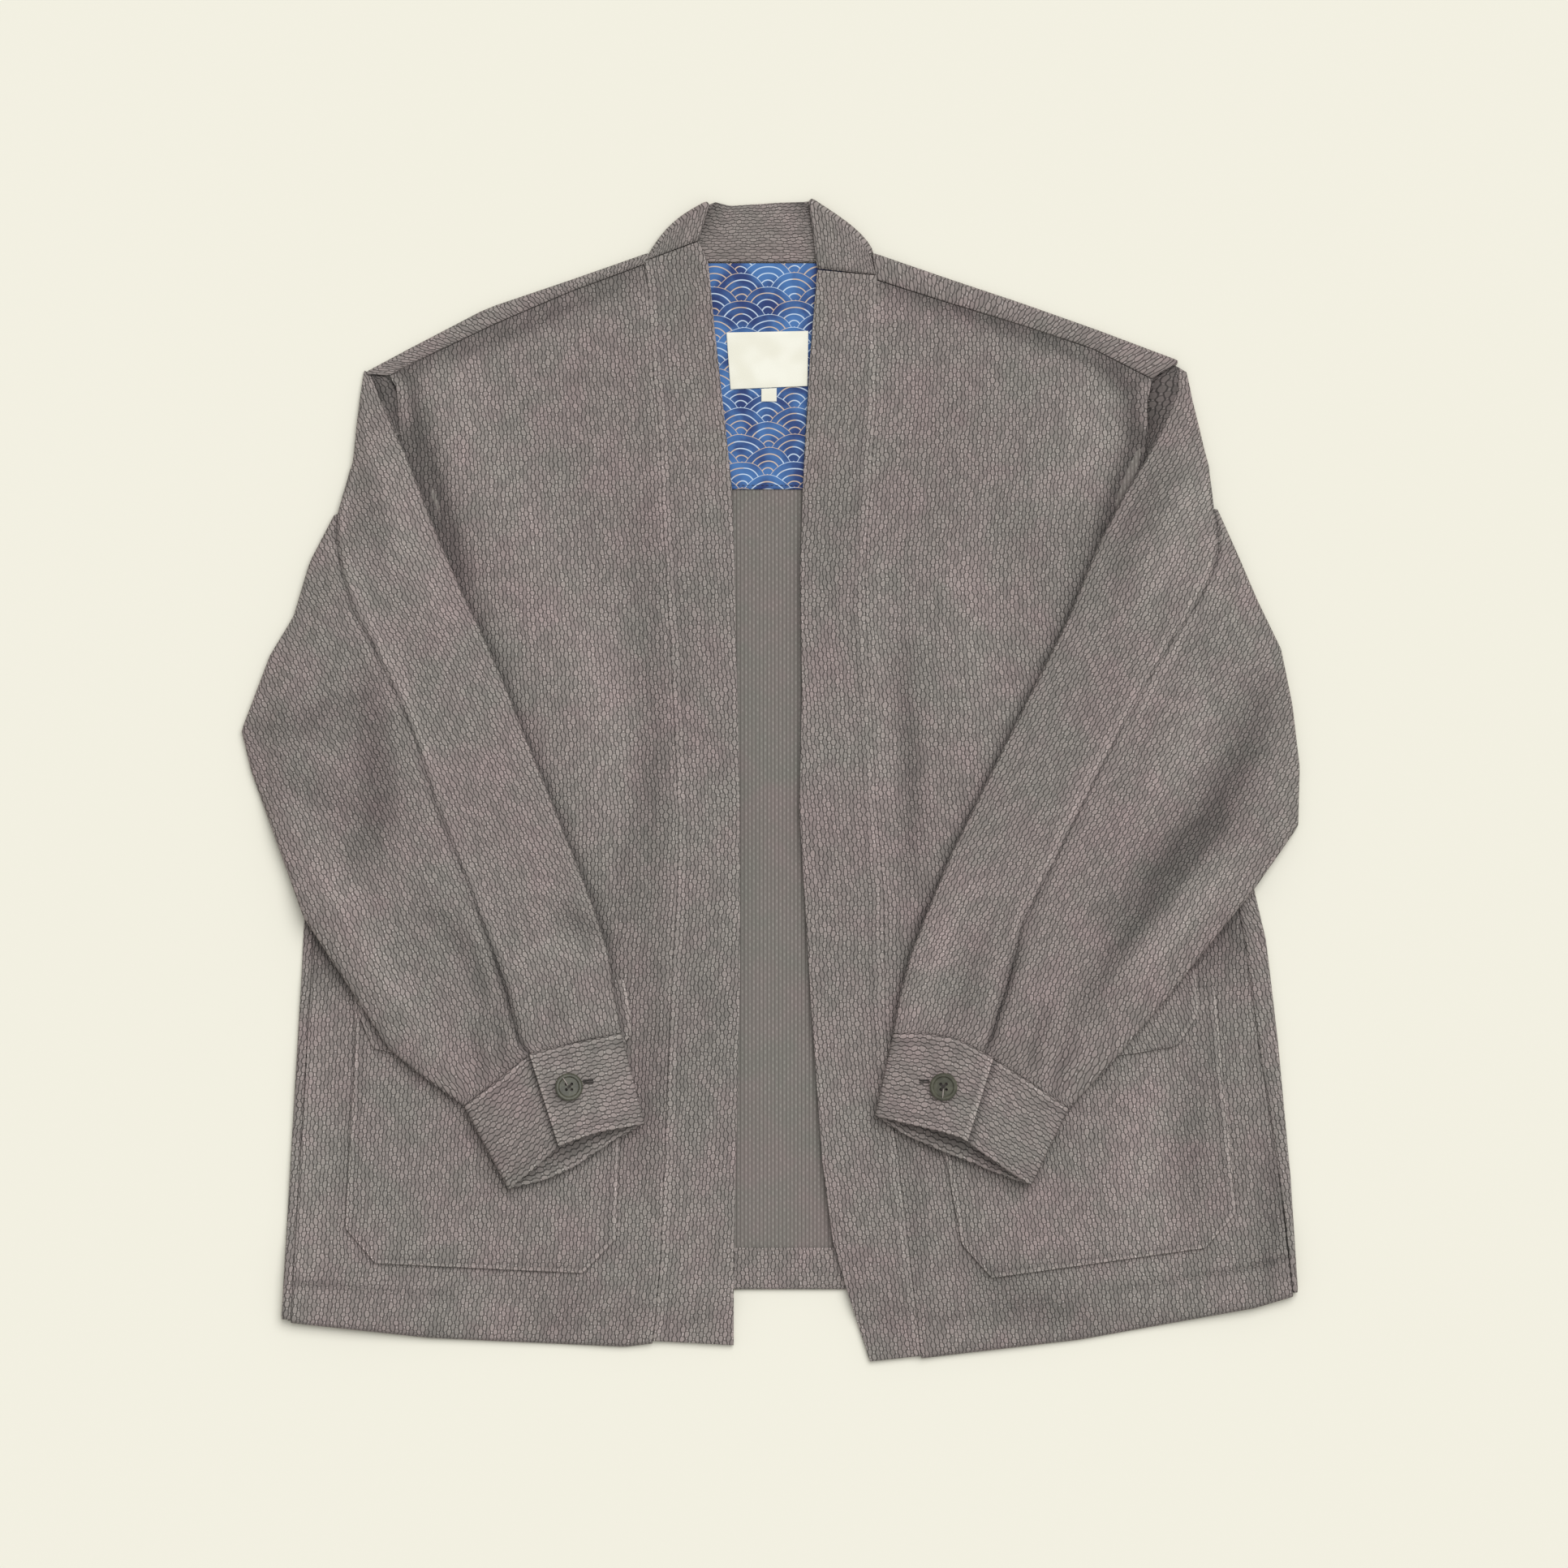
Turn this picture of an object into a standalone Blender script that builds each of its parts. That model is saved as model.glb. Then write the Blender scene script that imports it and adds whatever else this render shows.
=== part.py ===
"""Long-sleeved open jacket in thick rice-grain cotton, laid flat on its back.

Each piece of cloth is one closed body. Sizes below are millimetres in the shared frame:
X across the garment, Y from hem to neck, Z up from the surface that it lies on.
"""
import bpy
import math
import numpy as np

for old in list(bpy.data.objects):
    bpy.data.objects.remove(old, do_unlink=True)

# Driving sizes, millimetres
CLOTH = 1.5            # one layer of the woven cotton
BAND = 2.8             # front and neck band, folded double
CUFF = 2.4             # cuff, folded double
GAP = 0.3              # clear space between two pieces
BACK_MID = CLOTH / 2   # middle of the back, which lies on the surface
FRONT_MID = 2.9        # middle of the fronts, which lie on the back
BAND_MID = 4.55        # middle of the bands, which lie on the neck facing
STEP = CLOTH + GAP     # one more layer of cloth on top of another
TURN_UP = 25.0         # depth of the turned hems
PUFF = 10.0            # height that a sleeve rises in its middle
FOLD = 4.4             # thickness of a sleeve at its folded sides
MOUTH = 8.0            # height of the open cuff mouth
BUTTON_R = 8.85
BUTTON_T = 3.0
CENTRE = (0.25, -0.13)  # brings the whole garment's box to the middle of the frame

# Edges of the two fronts and the bands. Columns: x, y
SEAM_L = [(-81.1, 329.9), (-78.5, 313.3), (-76.4, 272.7), (-71.2, 218.1), (-70.2, 184.9), (-63.4, 68.4),
          (-59.3, -20.0), (-59.8, -66.8), (-63.4, -124.0), (-68.1, -243.6), (-71.2, -311.2), (-75.9, -358.9)]
SEAM_R = [(67.1, 320.6), (67.6, 292.0), (66.6, 240.0), (63.4, 188.0), (60.0, 136.0), (60.6, 94.4),
          (63.4, 58.0), (67.2, -20.0), (71.8, -72.0), (72.8, -150.0), (78.0, -217.6), (96.2, -368.5)]
OPEN_L = [(-46.3, 345.2), (-40.0, 331.0), (-36.4, 292.0), (-25.0, 188.0), (-23.4, 136.0), (-19.8, -20.0),
          (-19.8, -124.0), (-22.4, -243.6), (-23.9, -299.8), (-23.9, -361.7)]
OPEN_R = [(29.6, 327.0), (25.0, 271.2), (20.8, 198.4), (18.7, 136.0), (19.8, 58.0), (18.2, -20.0),
          (26.0, -150.0), (32.8, -243.6), (39.5, -294.6), (47.8, -324.2), (63.4, -372.1)]
SIDE_L = [(-313.6, -345.0), (-306.8, -228.0), (-300.6, -124.0), (-299.0, -87.6), (-295.4, 32.0), (-291.2, 68.4)]
SIDE_R = [(337.5, -327.9), (332.8, -254.0), (324.5, -165.6), (317.2, -103.2), (309.4, -69.4), (301.6, 32.0),
          (297.4, 68.4)]
ARM_L = [(-291.2, 68.4), (-270.4, 99.6), (-250.6, 136.0), (-239.2, 177.6), (-238.2, 219.2), (-239.7, 251.4),
         (-244.4, 258.6)]
ARM_R = [(297.4, 68.4), (275.6, 99.6), (254.8, 136.0), (243.4, 177.6), (241.8, 214.0), (240.8, 240.0),
         (243.9, 256.6)]
HEM_L = [(-313.6, -345.0), (-275.6, -349.2), (-218.4, -355.4), (-93.6, -361.1), (-75.9, -358.9)]
HEM_R = [(96.2, -368.5), (197.6, -356.5), (309.9, -336.2), (337.5, -327.9)]
TOP_L = [(-252.0, 263.4), (-234.0, 275.3), (-182.0, 302.4), (-130.0, 320.0), (-81.5, 336.5)]
TOP_R = [(67.5, 336.9), (113.0, 321.6), (161.2, 305.5), (210.0, 288.2), (256.4, 270.6)]
YOKE_L = [(-244.4, 259.2), (-231.4, 266.5), (-177.8, 292.0), (-129.0, 313.0), (-81.5, 330.4)]
YOKE_R = [(67.5, 320.6), (112.0, 306.5), (160.0, 291.8), (206.0, 276.6), (243.9, 257.2)]
BACK_HEM = [(-313.6, -345.0), (-234.0, -336.2), (-130.0, -328.9), (-23.9, -324.2), (47.8, -324.2),
            (182.0, -325.3), (337.5, -327.9)]
WRAP_L = 4.0           # how far the back laps round the left side to its seam
WRAP_R = [(1.2, -327.9), (3.4, -279.0), (6.5, -237.4), (10.2, -177.6), (11.5, -145.3), (11.8, -112.6), (11.0, -69.4)]

# Rounded forms of the fronts. Columns: x, y, half width, half length, rise
FORMS = [(-150, 175, 50, 90, 1.1), (-112, 10, 26, 110, 0.9), (-205, 235, 34, 26, -0.5), (-98, -150, 16, 60, -0.4),
         (135, 190, 46, 90, 1.2), (100, 60, 18, 110, -0.6), (128, -10, 20, 80, 0.9), (92, -90, 12, 90, 0.7)]

# Sleeves. Columns: inner x, y, outer x, y, seam place across, tip x, y of the layer below, 0 low or 1 on the fronts
SLEEVE_L = [(-256.6, 260.6, -260.4, 262.4, 1.0, -253.6, 262.0, 0), (-253.4, 252.5, -261.6, 256.0, 1.0, -246.0, 257.4, 0),
            (-249.6, 242.6, -263.1, 245.2, 1.0, -240.5, 249.0, 0), (-242.3, 225.9, -265.7, 224.0, 1.0, -238.8, 226.4, 0),
            (-239.6, 219.6, -266.4, 215.0, 1.0, -238.8, 220.2, 1), (-235.0, 210.9, -267.8, 203.6, 1.0, -234.6, 211.0, 1),
            (-224.6, 184.9, -279.8, 169.8, 0.96, -224.2, 185.1, 1), (-213.2, 154.7, -295.4, 139.6, 0.77, -212.8, 154.9, 1),
            (-196.6, 117.3, -305.8, 104.8, 0.65, -196.2, 117.5, 1), (-187.2, 98.5, -320.8, 80.0, 0.51, -186.8, 98.7, 1),
            (-171.6, 63.2, -339.0, 32.0, 0.39, -171.2, 63.4, 1), (-158.6, 30.4, -332.8, 6.0, 0.385, -158.2, 30.5, 1),
            (-144.6, -3.4, -319.8, -30.4, 0.40, -144.2, -3.3, 1), (-123.8, -55.4, -299.0, -87.6, 0.395, -123.4, -55.3, 1),
            (-112.8, -84.0, -265.2, -139.6, 0.43, -112.4, -83.9, 1), (-104.0, -111.0, -245.4, -171.0, 0.456, -103.6, -110.9, 1),
            (-99.8, -140.7, -223.6, -189.0, 0.50, -99.4, -140.6, 1), (-95.7, -161.1, -196.6, -207.8, 0.57, -95.3, -161.1, 1)]
SLEEVE_R = [(261.4, 264.2, 266.0, 261.4, 1.0, 258.4, 267.2, 0), (260.9, 256.0, 268.0, 253.0, 1.0, 247.8, 258.8, 0),
            (260.5, 249.3, 269.4, 245.2, 1.0, 243.2, 248.0, 0), (251.7, 227.0, 274.6, 224.0, 1.0, 242.7, 226.0, 0),
            (243.8, 212.0, 277.6, 211.0, 1.0, 242.7, 212.0, 1), (241.0, 206.4, 279.8, 203.6, 1.0, 240.6, 206.4, 1),
            (226.2, 182.8, 286.0, 173.4, 0.96, 225.8, 182.9, 1), (211.1, 153.7, 299.0, 144.3, 0.86, 210.7, 153.8, 1),
            (200.2, 127.7, 311.5, 115.2, 0.68, 199.8, 127.8, 1), (189.3, 101.1, 326.6, 84.0, 0.50, 188.9, 101.2, 1),
            (173.2, 68.9, 333.8, 48.6, 0.41, 172.8, 69.0, 1), (156.0, 34.6, 338.5, 8.6, 0.35, 155.6, 34.7, 1),
            (137.8, -1.8, 337.5, -29.4, 0.32, 137.4, -1.7, 1), (116.0, -46.0, 309.4, -69.4, 0.333, 115.6, -45.9, 1),
            (100.9, -82.4, 280.8, -104.8, 0.335, 100.5, -82.3, 1), (89.4, -111.5, 251.2, -142.2, 0.395, 89.0, -111.4, 1),
            (83.2, -134.4, 221.5, -177.1, 0.44, 82.8, -134.3, 1), (78.0, -161.4, 190.8, -209.2, 0.54, 77.6, -161.4, 1)]

# Cuffs. Columns: place across, seam x, y, near mouth x, y, far mouth x, y
CUFF_L = [(0.0, -95.7, -161.8, -80.6, -219.7, -80.6, -219.7), (0.27, -125.3, -168.0, -110.2, -224.9, -103.0, -232.0),
          (0.57, -154.4, -174.9, -135.7, -233.6, -125.0, -247.0), (0.79, -177.3, -194.1, -152.0, -249.0, -141.0, -254.6),
          (1.0, -196.6, -208.7, -168.0, -261.8, -168.0, -261.8)]
CUFF_R = [(0.0, 78.0, -162.1, 66.0, -214.5, 66.0, -214.5), (0.18, 98.3, -161.9, 87.9, -219.7, 84.0, -226.0),
          (0.36, 119.1, -165.5, 105.0, -223.6, 106.0, -236.0), (0.54, 138.8, -175.9, 122.2, -228.5, 129.0, -245.0),
          (0.76, 162.0, -191.0, 146.0, -246.0, 148.0, -252.8), (1.0, 190.8, -210.1, 166.4, -259.2, 166.4, -259.2)]
# The way round a cuff, from the overlap's end to the tucked end. Columns: place across, height 0 low to 1 high, lap
CUFF_WAY = [(0.57, 1.0, 1.0), (0.50, 1.0, 1.0), (0.43, 1.0, 1.0), (0.33, 1.0, 0.75), (0.22, 1.0, 0.5), (0.12, 1.0, 0.25),
            (0.05, 1.0, 0.08), (0.018, 0.82, 0.0), (0.012, 0.5, 0.0), (0.018, 0.18, 0.0), (0.05, 0.0, 0.0),
            (0.18, 0.0, 0.0), (0.36, 0.0, 0.0), (0.54, 0.0, 0.0), (0.70, 0.0, 0.0), (0.85, 0.0, 0.0), (0.95, 0.0, 0.0),
            (0.984, 0.18, 0.0), (0.99, 0.5, 0.0), (0.984, 0.82, 0.0), (0.95, 1.0, 0.0), (0.86, 1.0, 0.0),
            (0.76, 1.0, 0.0), (0.66, 1.0, 0.0), (0.57, 1.0, 0.0), (0.49, 1.0, 0.0)]

# Pockets and flaps, down each side from the top. Columns: left x, y, right x, y
POCKET_L = [(-266.2, -137.0, -96.2, -137.0), (-266.2, -171.3, -96.6, -175.0), (-269.4, -229.0, -97.6, -235.0),
            (-272.5, -286.8, -98.8, -293.0), (-253.2, -309.1, -120.6, -315.4)]
POCKET_R = [(105.0, -144.8, 284.4, -131.8), (107.4, -180.0, 288.2, -180.0), (111.6, -240.0, 293.2, -228.0),
            (122.2, -297.2, 298.0, -276.9), (141.4, -318.5, 277.7, -299.3)]
FLAP_L = [(-264.2, -127.7, -94.1, -127.7), (-264.2, -134.0, -92.6, -134.0), (-264.2, -150.0, -89.6, -150.0),
          (-259.5, -160.7, -89.4, -163.0), (-254.8, -171.3, -99.0, -172.6), (-237.6, -174.9, -116.0, -175.6)]
FLAP_R = [(98.8, -132.6, 272.0, -120.4), (99.2, -140.0, 272.3, -127.2), (99.8, -156.0, 273.5, -149.0),
          (101.0, -170.0, 266.8, -160.0), (112.0, -183.6, 260.0, -169.8), (128.0, -187.4, 232.4, -174.4)]

# Neck: the band's folded corners, its edges and the facing inside. Columns: x, y
MITRE_L = ((-78.0, 337.7), (-41.5, 371.0))
MITRE_R = ((65.0, 337.7), (26.2, 373.0))
CROSS_L = ((-79.4, 332.4), (-46.3, 345.6))
CROSS_R = ((66.0, 323.4), (29.6, 327.5))
NECK_LOW = [(-66.0, 333.6), (-52.0, 332.3), (-40.0, 331.9), (-6.0, 331.9), (28.0, 331.9), (40.0, 332.3), (54.0, 333.8)]
NECK_TOP = [(-35.5, 370.3), (-31.0, 369.0), (-26.0, 367.9), (-6.0, 369.2), (6.0, 370.0), (14.0, 370.2), (20.5, 370.4)]
NECKLINE = [(-81.5, 333.2), (-60.0, 332.4), (-40.0, 331.5), (-6.0, 331.5), (28.0, 331.5), (46.0, 332.4), (67.5, 333.2)]
FACING = (-60.0, 186.4, 46.0, 331.1)
LABEL = [(-28.6, 286.8), (-26.0, 250.4), (23.4, 252.5), (23.9, 287.8)]
SIZE_TAB = [(-6.2, 250.8), (-6.2, 242.6), (3.6, 242.6), (3.6, 251.2)]


def finish(name, colour, rough):
    mat = bpy.data.materials.new(name)
    mat.use_nodes = True
    bsdf = mat.node_tree.nodes["Principled BSDF"]
    bsdf.inputs["Base Color"].default_value = (*colour, 1.0)
    bsdf.inputs["Roughness"].default_value = rough
    mat.diffuse_color = (*colour, 1.0)
    return mat


def body(name, verts, faces, colour=(0.235, 0.205, 0.196), rough=0.92):
    """One named closed solid, drawn in millimetres and kept in metres."""
    mesh = bpy.data.meshes.new(name)
    mesh.from_pydata([((v[0] + CENTRE[0]) * 0.001, (v[1] + CENTRE[1]) * 0.001, v[2] * 0.001) for v in verts], [], faces)
    mesh.update()
    obj = bpy.data.objects.new(name, mesh)
    bpy.context.scene.collection.objects.link(obj)
    mesh.materials.append(finish(name + "_finish", colour, rough))
    return obj


def along(table, y):
    """x of an edge at a height y, straight between its points."""
    rows = sorted((p[1], p[0]) for p in table)
    return float(np.interp(y, [r[0] for r in rows], [r[1] for r in rows]))


def across(table, x):
    """y of an edge at a place x, straight between its points."""
    rows = sorted((p[0], p[1]) for p in table)
    return float(np.interp(x, [r[0] for r in rows], [r[1] for r in rows]))


def path(table, n):
    """n points evenly spaced along an edge."""
    p = np.array(table, float)
    d = np.concatenate([[0.0], np.cumsum(np.linalg.norm(np.diff(p, axis=0), axis=1))])
    t = np.linspace(0.0, d[-1], n)
    return np.stack([np.interp(t, d, p[:, 0]), np.interp(t, d, p[:, 1])], axis=1)


def place(table, steps):
    """Points along an edge at given shares of its length."""
    p = np.array(table, float)
    d = np.concatenate([[0.0], np.cumsum(np.linalg.norm(np.diff(p, axis=0), axis=1))])
    t = np.array(steps) * d[-1]
    return np.stack([np.interp(t, d, p[:, 0]), np.interp(t, d, p[:, 1])], axis=1)


def patch(low, high, left, right, su, sv):
    """A flat grid of points between four edges that meet at the corners."""
    low, high, left, right = place(low, su), place(high, su), place(left, sv), place(right, sv)
    rows = []
    for j, v in enumerate(sv):
        row = []
        for i, u in enumerate(su):
            p = (1 - v) * low[i] + v * high[i] + (1 - u) * left[j] + u * right[j]
            p = p - ((1 - u) * (1 - v) * low[0] + u * (1 - v) * low[-1] + (1 - u) * v * high[0] + u * v * high[-1])
            row.append(p)
        rows.append(row)
    return rows


def ease(t):
    t = min(1.0, max(0.0, t))
    return t * t * (3 - 2 * t)


def wall(name, verts, faces, half, colour=(0.235, 0.205, 0.196), rough=0.92):
    """A sheet of faces thickened to both sides of its middle; half is its half thickness at each point."""
    v = np.array(verts, float)
    half = np.broadcast_to(np.array(half, float), (len(v),))
    normal = np.zeros_like(v)
    for f in faces:
        p = v[list(f)]
        n = np.cross(p[2] - p[0], p[-1] - p[1]) if len(f) == 4 else np.cross(p[1] - p[0], p[2] - p[0])
        n /= max(np.linalg.norm(n), 1e-12)
        for i in f:
            normal[i] += n
    normal /= np.maximum(np.linalg.norm(normal, axis=1), 1e-9)[:, None]
    n = len(v)
    pts = np.concatenate([v + normal * half[:, None], v - normal * half[:, None]])
    out = [tuple(f) for f in faces] + [tuple(i + n for i in reversed(f)) for f in faces]
    edges = {}
    for f in faces:
        for a, b in zip(f, f[1:] + f[:1]):
            edges[(a, b)] = edges.get((a, b), 0) + 1
    for (a, b) in list(edges):
        if (b, a) not in edges:
            out.append((b, a, a + n, b + n))
    return body(name, [tuple(p) for p in pts], out, colour, rough)


def grid(nu, nv, keep=lambda i, j: True):
    """Faces of a grid stored row by row, seen from above with rows going up."""
    return [(j * nu + i, j * nu + i + 1, (j + 1) * nu + i + 1, (j + 1) * nu + i)
            for j in range(nv - 1) for i in range(nu - 1) if keep(i, j)]


def sleeve_edge(table, y):
    """x of a sleeve's inner fold at a height y."""
    rows = sorted((r[1], r[0]) for r in table)
    return float(np.interp(y, [r[0] for r in rows], [r[1] for r in rows]))


def droop(x, y):
    """How far a front sinks where it hangs past the back's hem."""
    return 3.0 * ease((across(BACK_HEM, x) - 8.0 - y) / 18.0)


def front_mid(x, y):
    """Height of the middle of a front's outer layer."""
    left = x < 0
    seam = along(SEAM_L if left else SEAM_R, y)
    z = FRONT_MID + 1.5 * math.exp(-((x - seam) / 20.0) ** 2)
    z = max(z, FRONT_MID + (2 * STEP - 0.2) * ease((across(BACK_HEM, x) + TURN_UP + 38.0 - y) / 34.0))
    inner = sleeve_edge(SLEEVE_L if left else SLEEVE_R, y)
    clear = ease((abs(inner) - abs(x) - 4.0) / 26.0) if y < 240 else ease((abs(inner) - 14.0 - abs(x)) / 26.0)
    rise = sum(h * math.exp(-((x - a) / w) ** 2 - ((y - b) / d) ** 2) for a, b, w, d, h in FORMS)
    low = ease((y + 112.0) / 40.0)
    return z + rise * clear * low - droop(x, y)


def band_mid(x, y):
    """Height of the middle of a front band."""
    return BAND_MID + 0.55 * ease((across(BACK_HEM, x) + TURN_UP + 38.0 - y) / 34.0) - droop(x, y)


def outside(x, y):
    """How far a point lies outside the body's side or armhole."""
    if x < 0:
        edge = along(SIDE_L, y) if y < 68.4 else along(ARM_L, y)
    else:
        edge = along(SIDE_R, y) if y < 68.4 else along(ARM_R, y)
    return abs(x) - abs(edge)


def floor(x, y):
    """Lowest height of a sleeve that rests on a front, a pocket and its flap."""
    on_front = front_mid(x, y) + CLOTH / 2 + 0.55
    zone = ease((-55.0 - y) / 30.0)
    stack = on_front + (2 * STEP + 0.15) * zone
    return stack + (0.6 - stack) * ease((outside(x, y) - 17.0) / 14.0)


# Back: flat on the surface, lapped up over both shoulders and round both sides
cols_l = [0.0, 0.09, 0.417, 0.716, 1.0]
cols_r = [0.0, 0.26, 0.516, 0.773, 1.0]
top = [tuple(p) for p in place(TOP_L, cols_l)] + NECKLINE[1:-1] + [tuple(p) for p in place(TOP_R, cols_r)]
inset = 2.0                       # the fold's round keeps this far inside the outline
top = [(x, y - (inset if i < 5 or i > 9 else 0.0)) for i, (x, y) in enumerate(top)]
nu = len(top)
rows_y = [0.0, 0.012, 0.028, 0.045, 0.075, 0.14, 0.24, 0.34, 0.44, 0.53, 0.61, 0.68, 0.75, 0.82, 0.89, 0.95, 1.0]
left_edge = [(x + 1.9, y) for x, y in SIDE_L] + [(x + 0.4, y) for x, y in ARM_L[1:-1]] + [top[0]]
right_edge = [(x - 1.9, y) for x, y in SIDE_R] + [(x - 0.4, y) for x, y in ARM_R[1:-1]] + [top[-1]]
ld, rd = place(left_edge, rows_y), place(right_edge, rows_y)
verts = []
share = [(t[0] - top[0][0]) / (top[-1][0] - top[0][0]) for t in top]
for j, v in enumerate(rows_y):
    for i, s in enumerate(share):
        bx = left_edge[0][0] + s * (right_edge[0][0] - left_edge[0][0])
        low = np.array([bx, across(BACK_HEM, bx)])
        high = np.array(top[i])
        p = (1 - v) * low + v * high + (1 - s) * ld[j] + s * rd[j]
        c0, c1 = np.array([left_edge[0][0], across(BACK_HEM, left_edge[0][0])]), np.array([right_edge[0][0], across(BACK_HEM, right_edge[0][0])])
        p = p - ((1 - s) * (1 - v) * c0 + s * (1 - v) * c1 + (1 - s) * v * np.array(top[0]) + s * v * np.array(top[-1]))
        verts.append((p[0], p[1], BACK_MID))
faces = grid(nu, len(rows_y))
# Shoulder laps: a half round, then on to the shoulder seam
arc = [0.25, 0.5, 0.75, 1.0]
for block, seam, cols in ((range(0, 5), YOKE_L, cols_l), (range(nu - 5, nu), YOKE_R, cols_r)):
    seam_pts = place(seam, cols)
    previous = [(len(rows_y) - 1) * nu + i for i in block]
    for t in arc + ["seam"]:
        row = []
        for k, i in enumerate(block):
            x, y = top[i]
            sx, sy = seam_pts[k]
            up = front_mid(sx, sy)
            if t == "seam":
                verts.append((sx, sy + GAP, up))
            else:
                a = math.pi * t
                out = 1.15 * math.sin(a)
                verts.append((x, y + out, BACK_MID + (up - BACK_MID) * (1 - math.cos(a)) / 2))
            row.append(len(verts) - 1)
        faces += [(previous[k], previous[k + 1], row[k + 1], row[k]) for k in range(4)]
        previous = row
# Side laps, from the hem to just below the armhole
last = 8
for side, sign in ((0, -1), (nu - 1, 1)):
    previous = [j * nu + side for j in range(last)]
    for t in arc + ["seam"]:
        col = []
        for j in range(last):
            x, y = verts[j * nu + side][:2]
            wide = WRAP_L if sign < 0 else along(WRAP_R, y)
            xi = x - sign * wide
            up = front_mid(xi, y) if j > 0 else front_mid(xi, y)
            if t == "seam":
                verts.append((xi, y, up))
            else:
                a = math.pi * t
                verts.append((x + sign * 1.15 * math.sin(a), y, BACK_MID + (up - BACK_MID) * (1 - math.cos(a)) / 2))
            col.append(len(verts) - 1)
        for k in range(last - 1):
            quad = (previous[k], previous[k + 1], col[k + 1], col[k])
            faces.append(quad if sign < 0 else quad[::-1])
        previous = col
# Turned hem on the inside
previous = list(range(1, nu - 1))
for t in [0.3, 0.65, 1.0, "a", "b"]:
    row = []
    for i in range(1, nu - 1):
        x, y = verts[i][:2]
        if t in ("a", "b"):
            verts.append((x, y + TURN_UP * (0.5 if t == "a" else 1.0), BACK_MID + STEP))
        else:
            a = math.pi * t
            verts.append((x, y - 0.95 * math.sin(a), BACK_MID + STEP * (1 - math.cos(a)) / 2))
        row.append(len(verts) - 1)
    faces += [(row[k], row[k + 1], previous[k + 1], previous[k]) for k in range(nu - 3)]
    previous = row
wall("back", verts, faces, CLOTH / 2)


def front(name, seam, hem, side, arm, yoke, sign):
    """One front: from the band seam to the side, with the hem turned up inside."""
    lap = WRAP_L if sign < 0 else 0.0
    edge = [(x - sign * (1.9 + 3 * GAP + (lap if sign < 0 else along(WRAP_R, y))), y) for x, y in side]
    edge = edge[:-1] + [(edge[-1][0], edge[-1][1])] + [(x - sign * 0.0, y) for x, y in arm[1:]]
    inner = [(x + sign * GAP * 1.5, y) for x, y in reversed(seam)]
    hem_line = [p for p in hem if abs(p[0]) < abs(edge[0][0]) - 1]
    hem_line = (hem_line if sign > 0 else hem_line[::-1])
    hem_line = [inner[0]] + hem_line[1:] + [(edge[0][0], across(hem, edge[0][0]))]
    edge[0] = hem_line[-1]
    top_line = [(x, y - 3 * GAP) for x, y in yoke]
    top_line = top_line if sign > 0 else top_line[::-1]
    inner[-1], edge[-1] = top_line[0], top_line[-1]
    su = [0.0, 0.05, 0.12, 0.21, 0.31, 0.42, 0.53, 0.64, 0.75, 0.86, 0.95, 1.0]
    sv = [0.0, 0.012, 0.025, 0.037, 0.048, 0.06, 0.075, 0.09, 0.1, 0.11, 0.122, 0.134, 0.15, 0.2, 0.27, 0.34, 0.41, 0.48, 0.55, 0.62, 0.69, 0.76,
          0.83, 0.89, 0.94, 0.98, 1.0]
    pts = patch(hem_line, top_line, inner, edge, su, sv)
    nu, nv = len(su), len(sv)
    verts = [(p[0], p[1], front_mid(p[0], p[1])) for row in pts for p in row]
    faces = grid(nu, nv)
    previous = list(range(nu))
    for t in [0.3, 0.65, 1.0, "a", "b"]:
        row = []
        for i in range(nu):
            x, y, z = verts[i]
            if t in ("a", "b"):
                d = TURN_UP * (0.5 if t == "a" else 1.0)
                verts.append((x, y + d, front_mid(x, y + d) - STEP))
            else:
                a = math.pi * t
                verts.append((x, y - 0.95 * math.sin(a), z - STEP * (1 - math.cos(a)) / 2))
            row.append(len(verts) - 1)
        faces += [(row[k], row[k + 1], previous[k + 1], previous[k]) for k in range(nu - 1)]
        previous = row
    if sign < 0:
        faces = [f[::-1] for f in faces]
    wall(name, verts, faces, CLOTH / 2)


front("front_left", SEAM_L, HEM_L, SIDE_L, ARM_L, YOKE_L, -1)
front("front_right", SEAM_R, HEM_R, SIDE_R, ARM_R, YOKE_R, 1)


def band(name, seam, opening, sign):
    """A front band, folded double: square at its seam and rounded at the opening."""
    outer = [(x - sign * GAP / 2, y) for x, y in reversed(seam)]
    outer[-1] = (CROSS_L[0][0], CROSS_L[0][1] - GAP) if sign < 0 else (CROSS_R[0][0], CROSS_R[0][1] - GAP)
    inner = list(reversed(opening))
    inner[-1] = (opening[0][0], opening[0][1] - GAP)
    su = [0.0, 0.03, 0.35, 0.7, 0.94, 0.985, 1.0]
    thick = [0.55, 1.0, 1.0, 1.0, 1.0, 0.8, 0.4]
    sv = [0.0, 0.01, 0.022, 0.034, 0.046, 0.06, 0.08, 0.1, 0.12, 0.15, 0.21, 0.28, 0.35, 0.42, 0.49, 0.56, 0.63, 0.7, 0.77, 0.84, 0.9, 0.95, 1.0]
    pts = patch([outer[0], inner[0]], [outer[-1], inner[-1]], outer, inner, su, sv)
    verts = [(p[0], p[1], band_mid(p[0], p[1])) for row in pts for p in row]
    faces = grid(len(su), len(sv))
    if sign > 0:
        faces = [f[::-1] for f in faces]
    wall(name, verts, faces, [BAND / 2 * t for _ in sv for t in thick])


band("band_left", SEAM_L, OPEN_L, -1)
band("band_right", SEAM_R, OPEN_R, 1)

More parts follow.
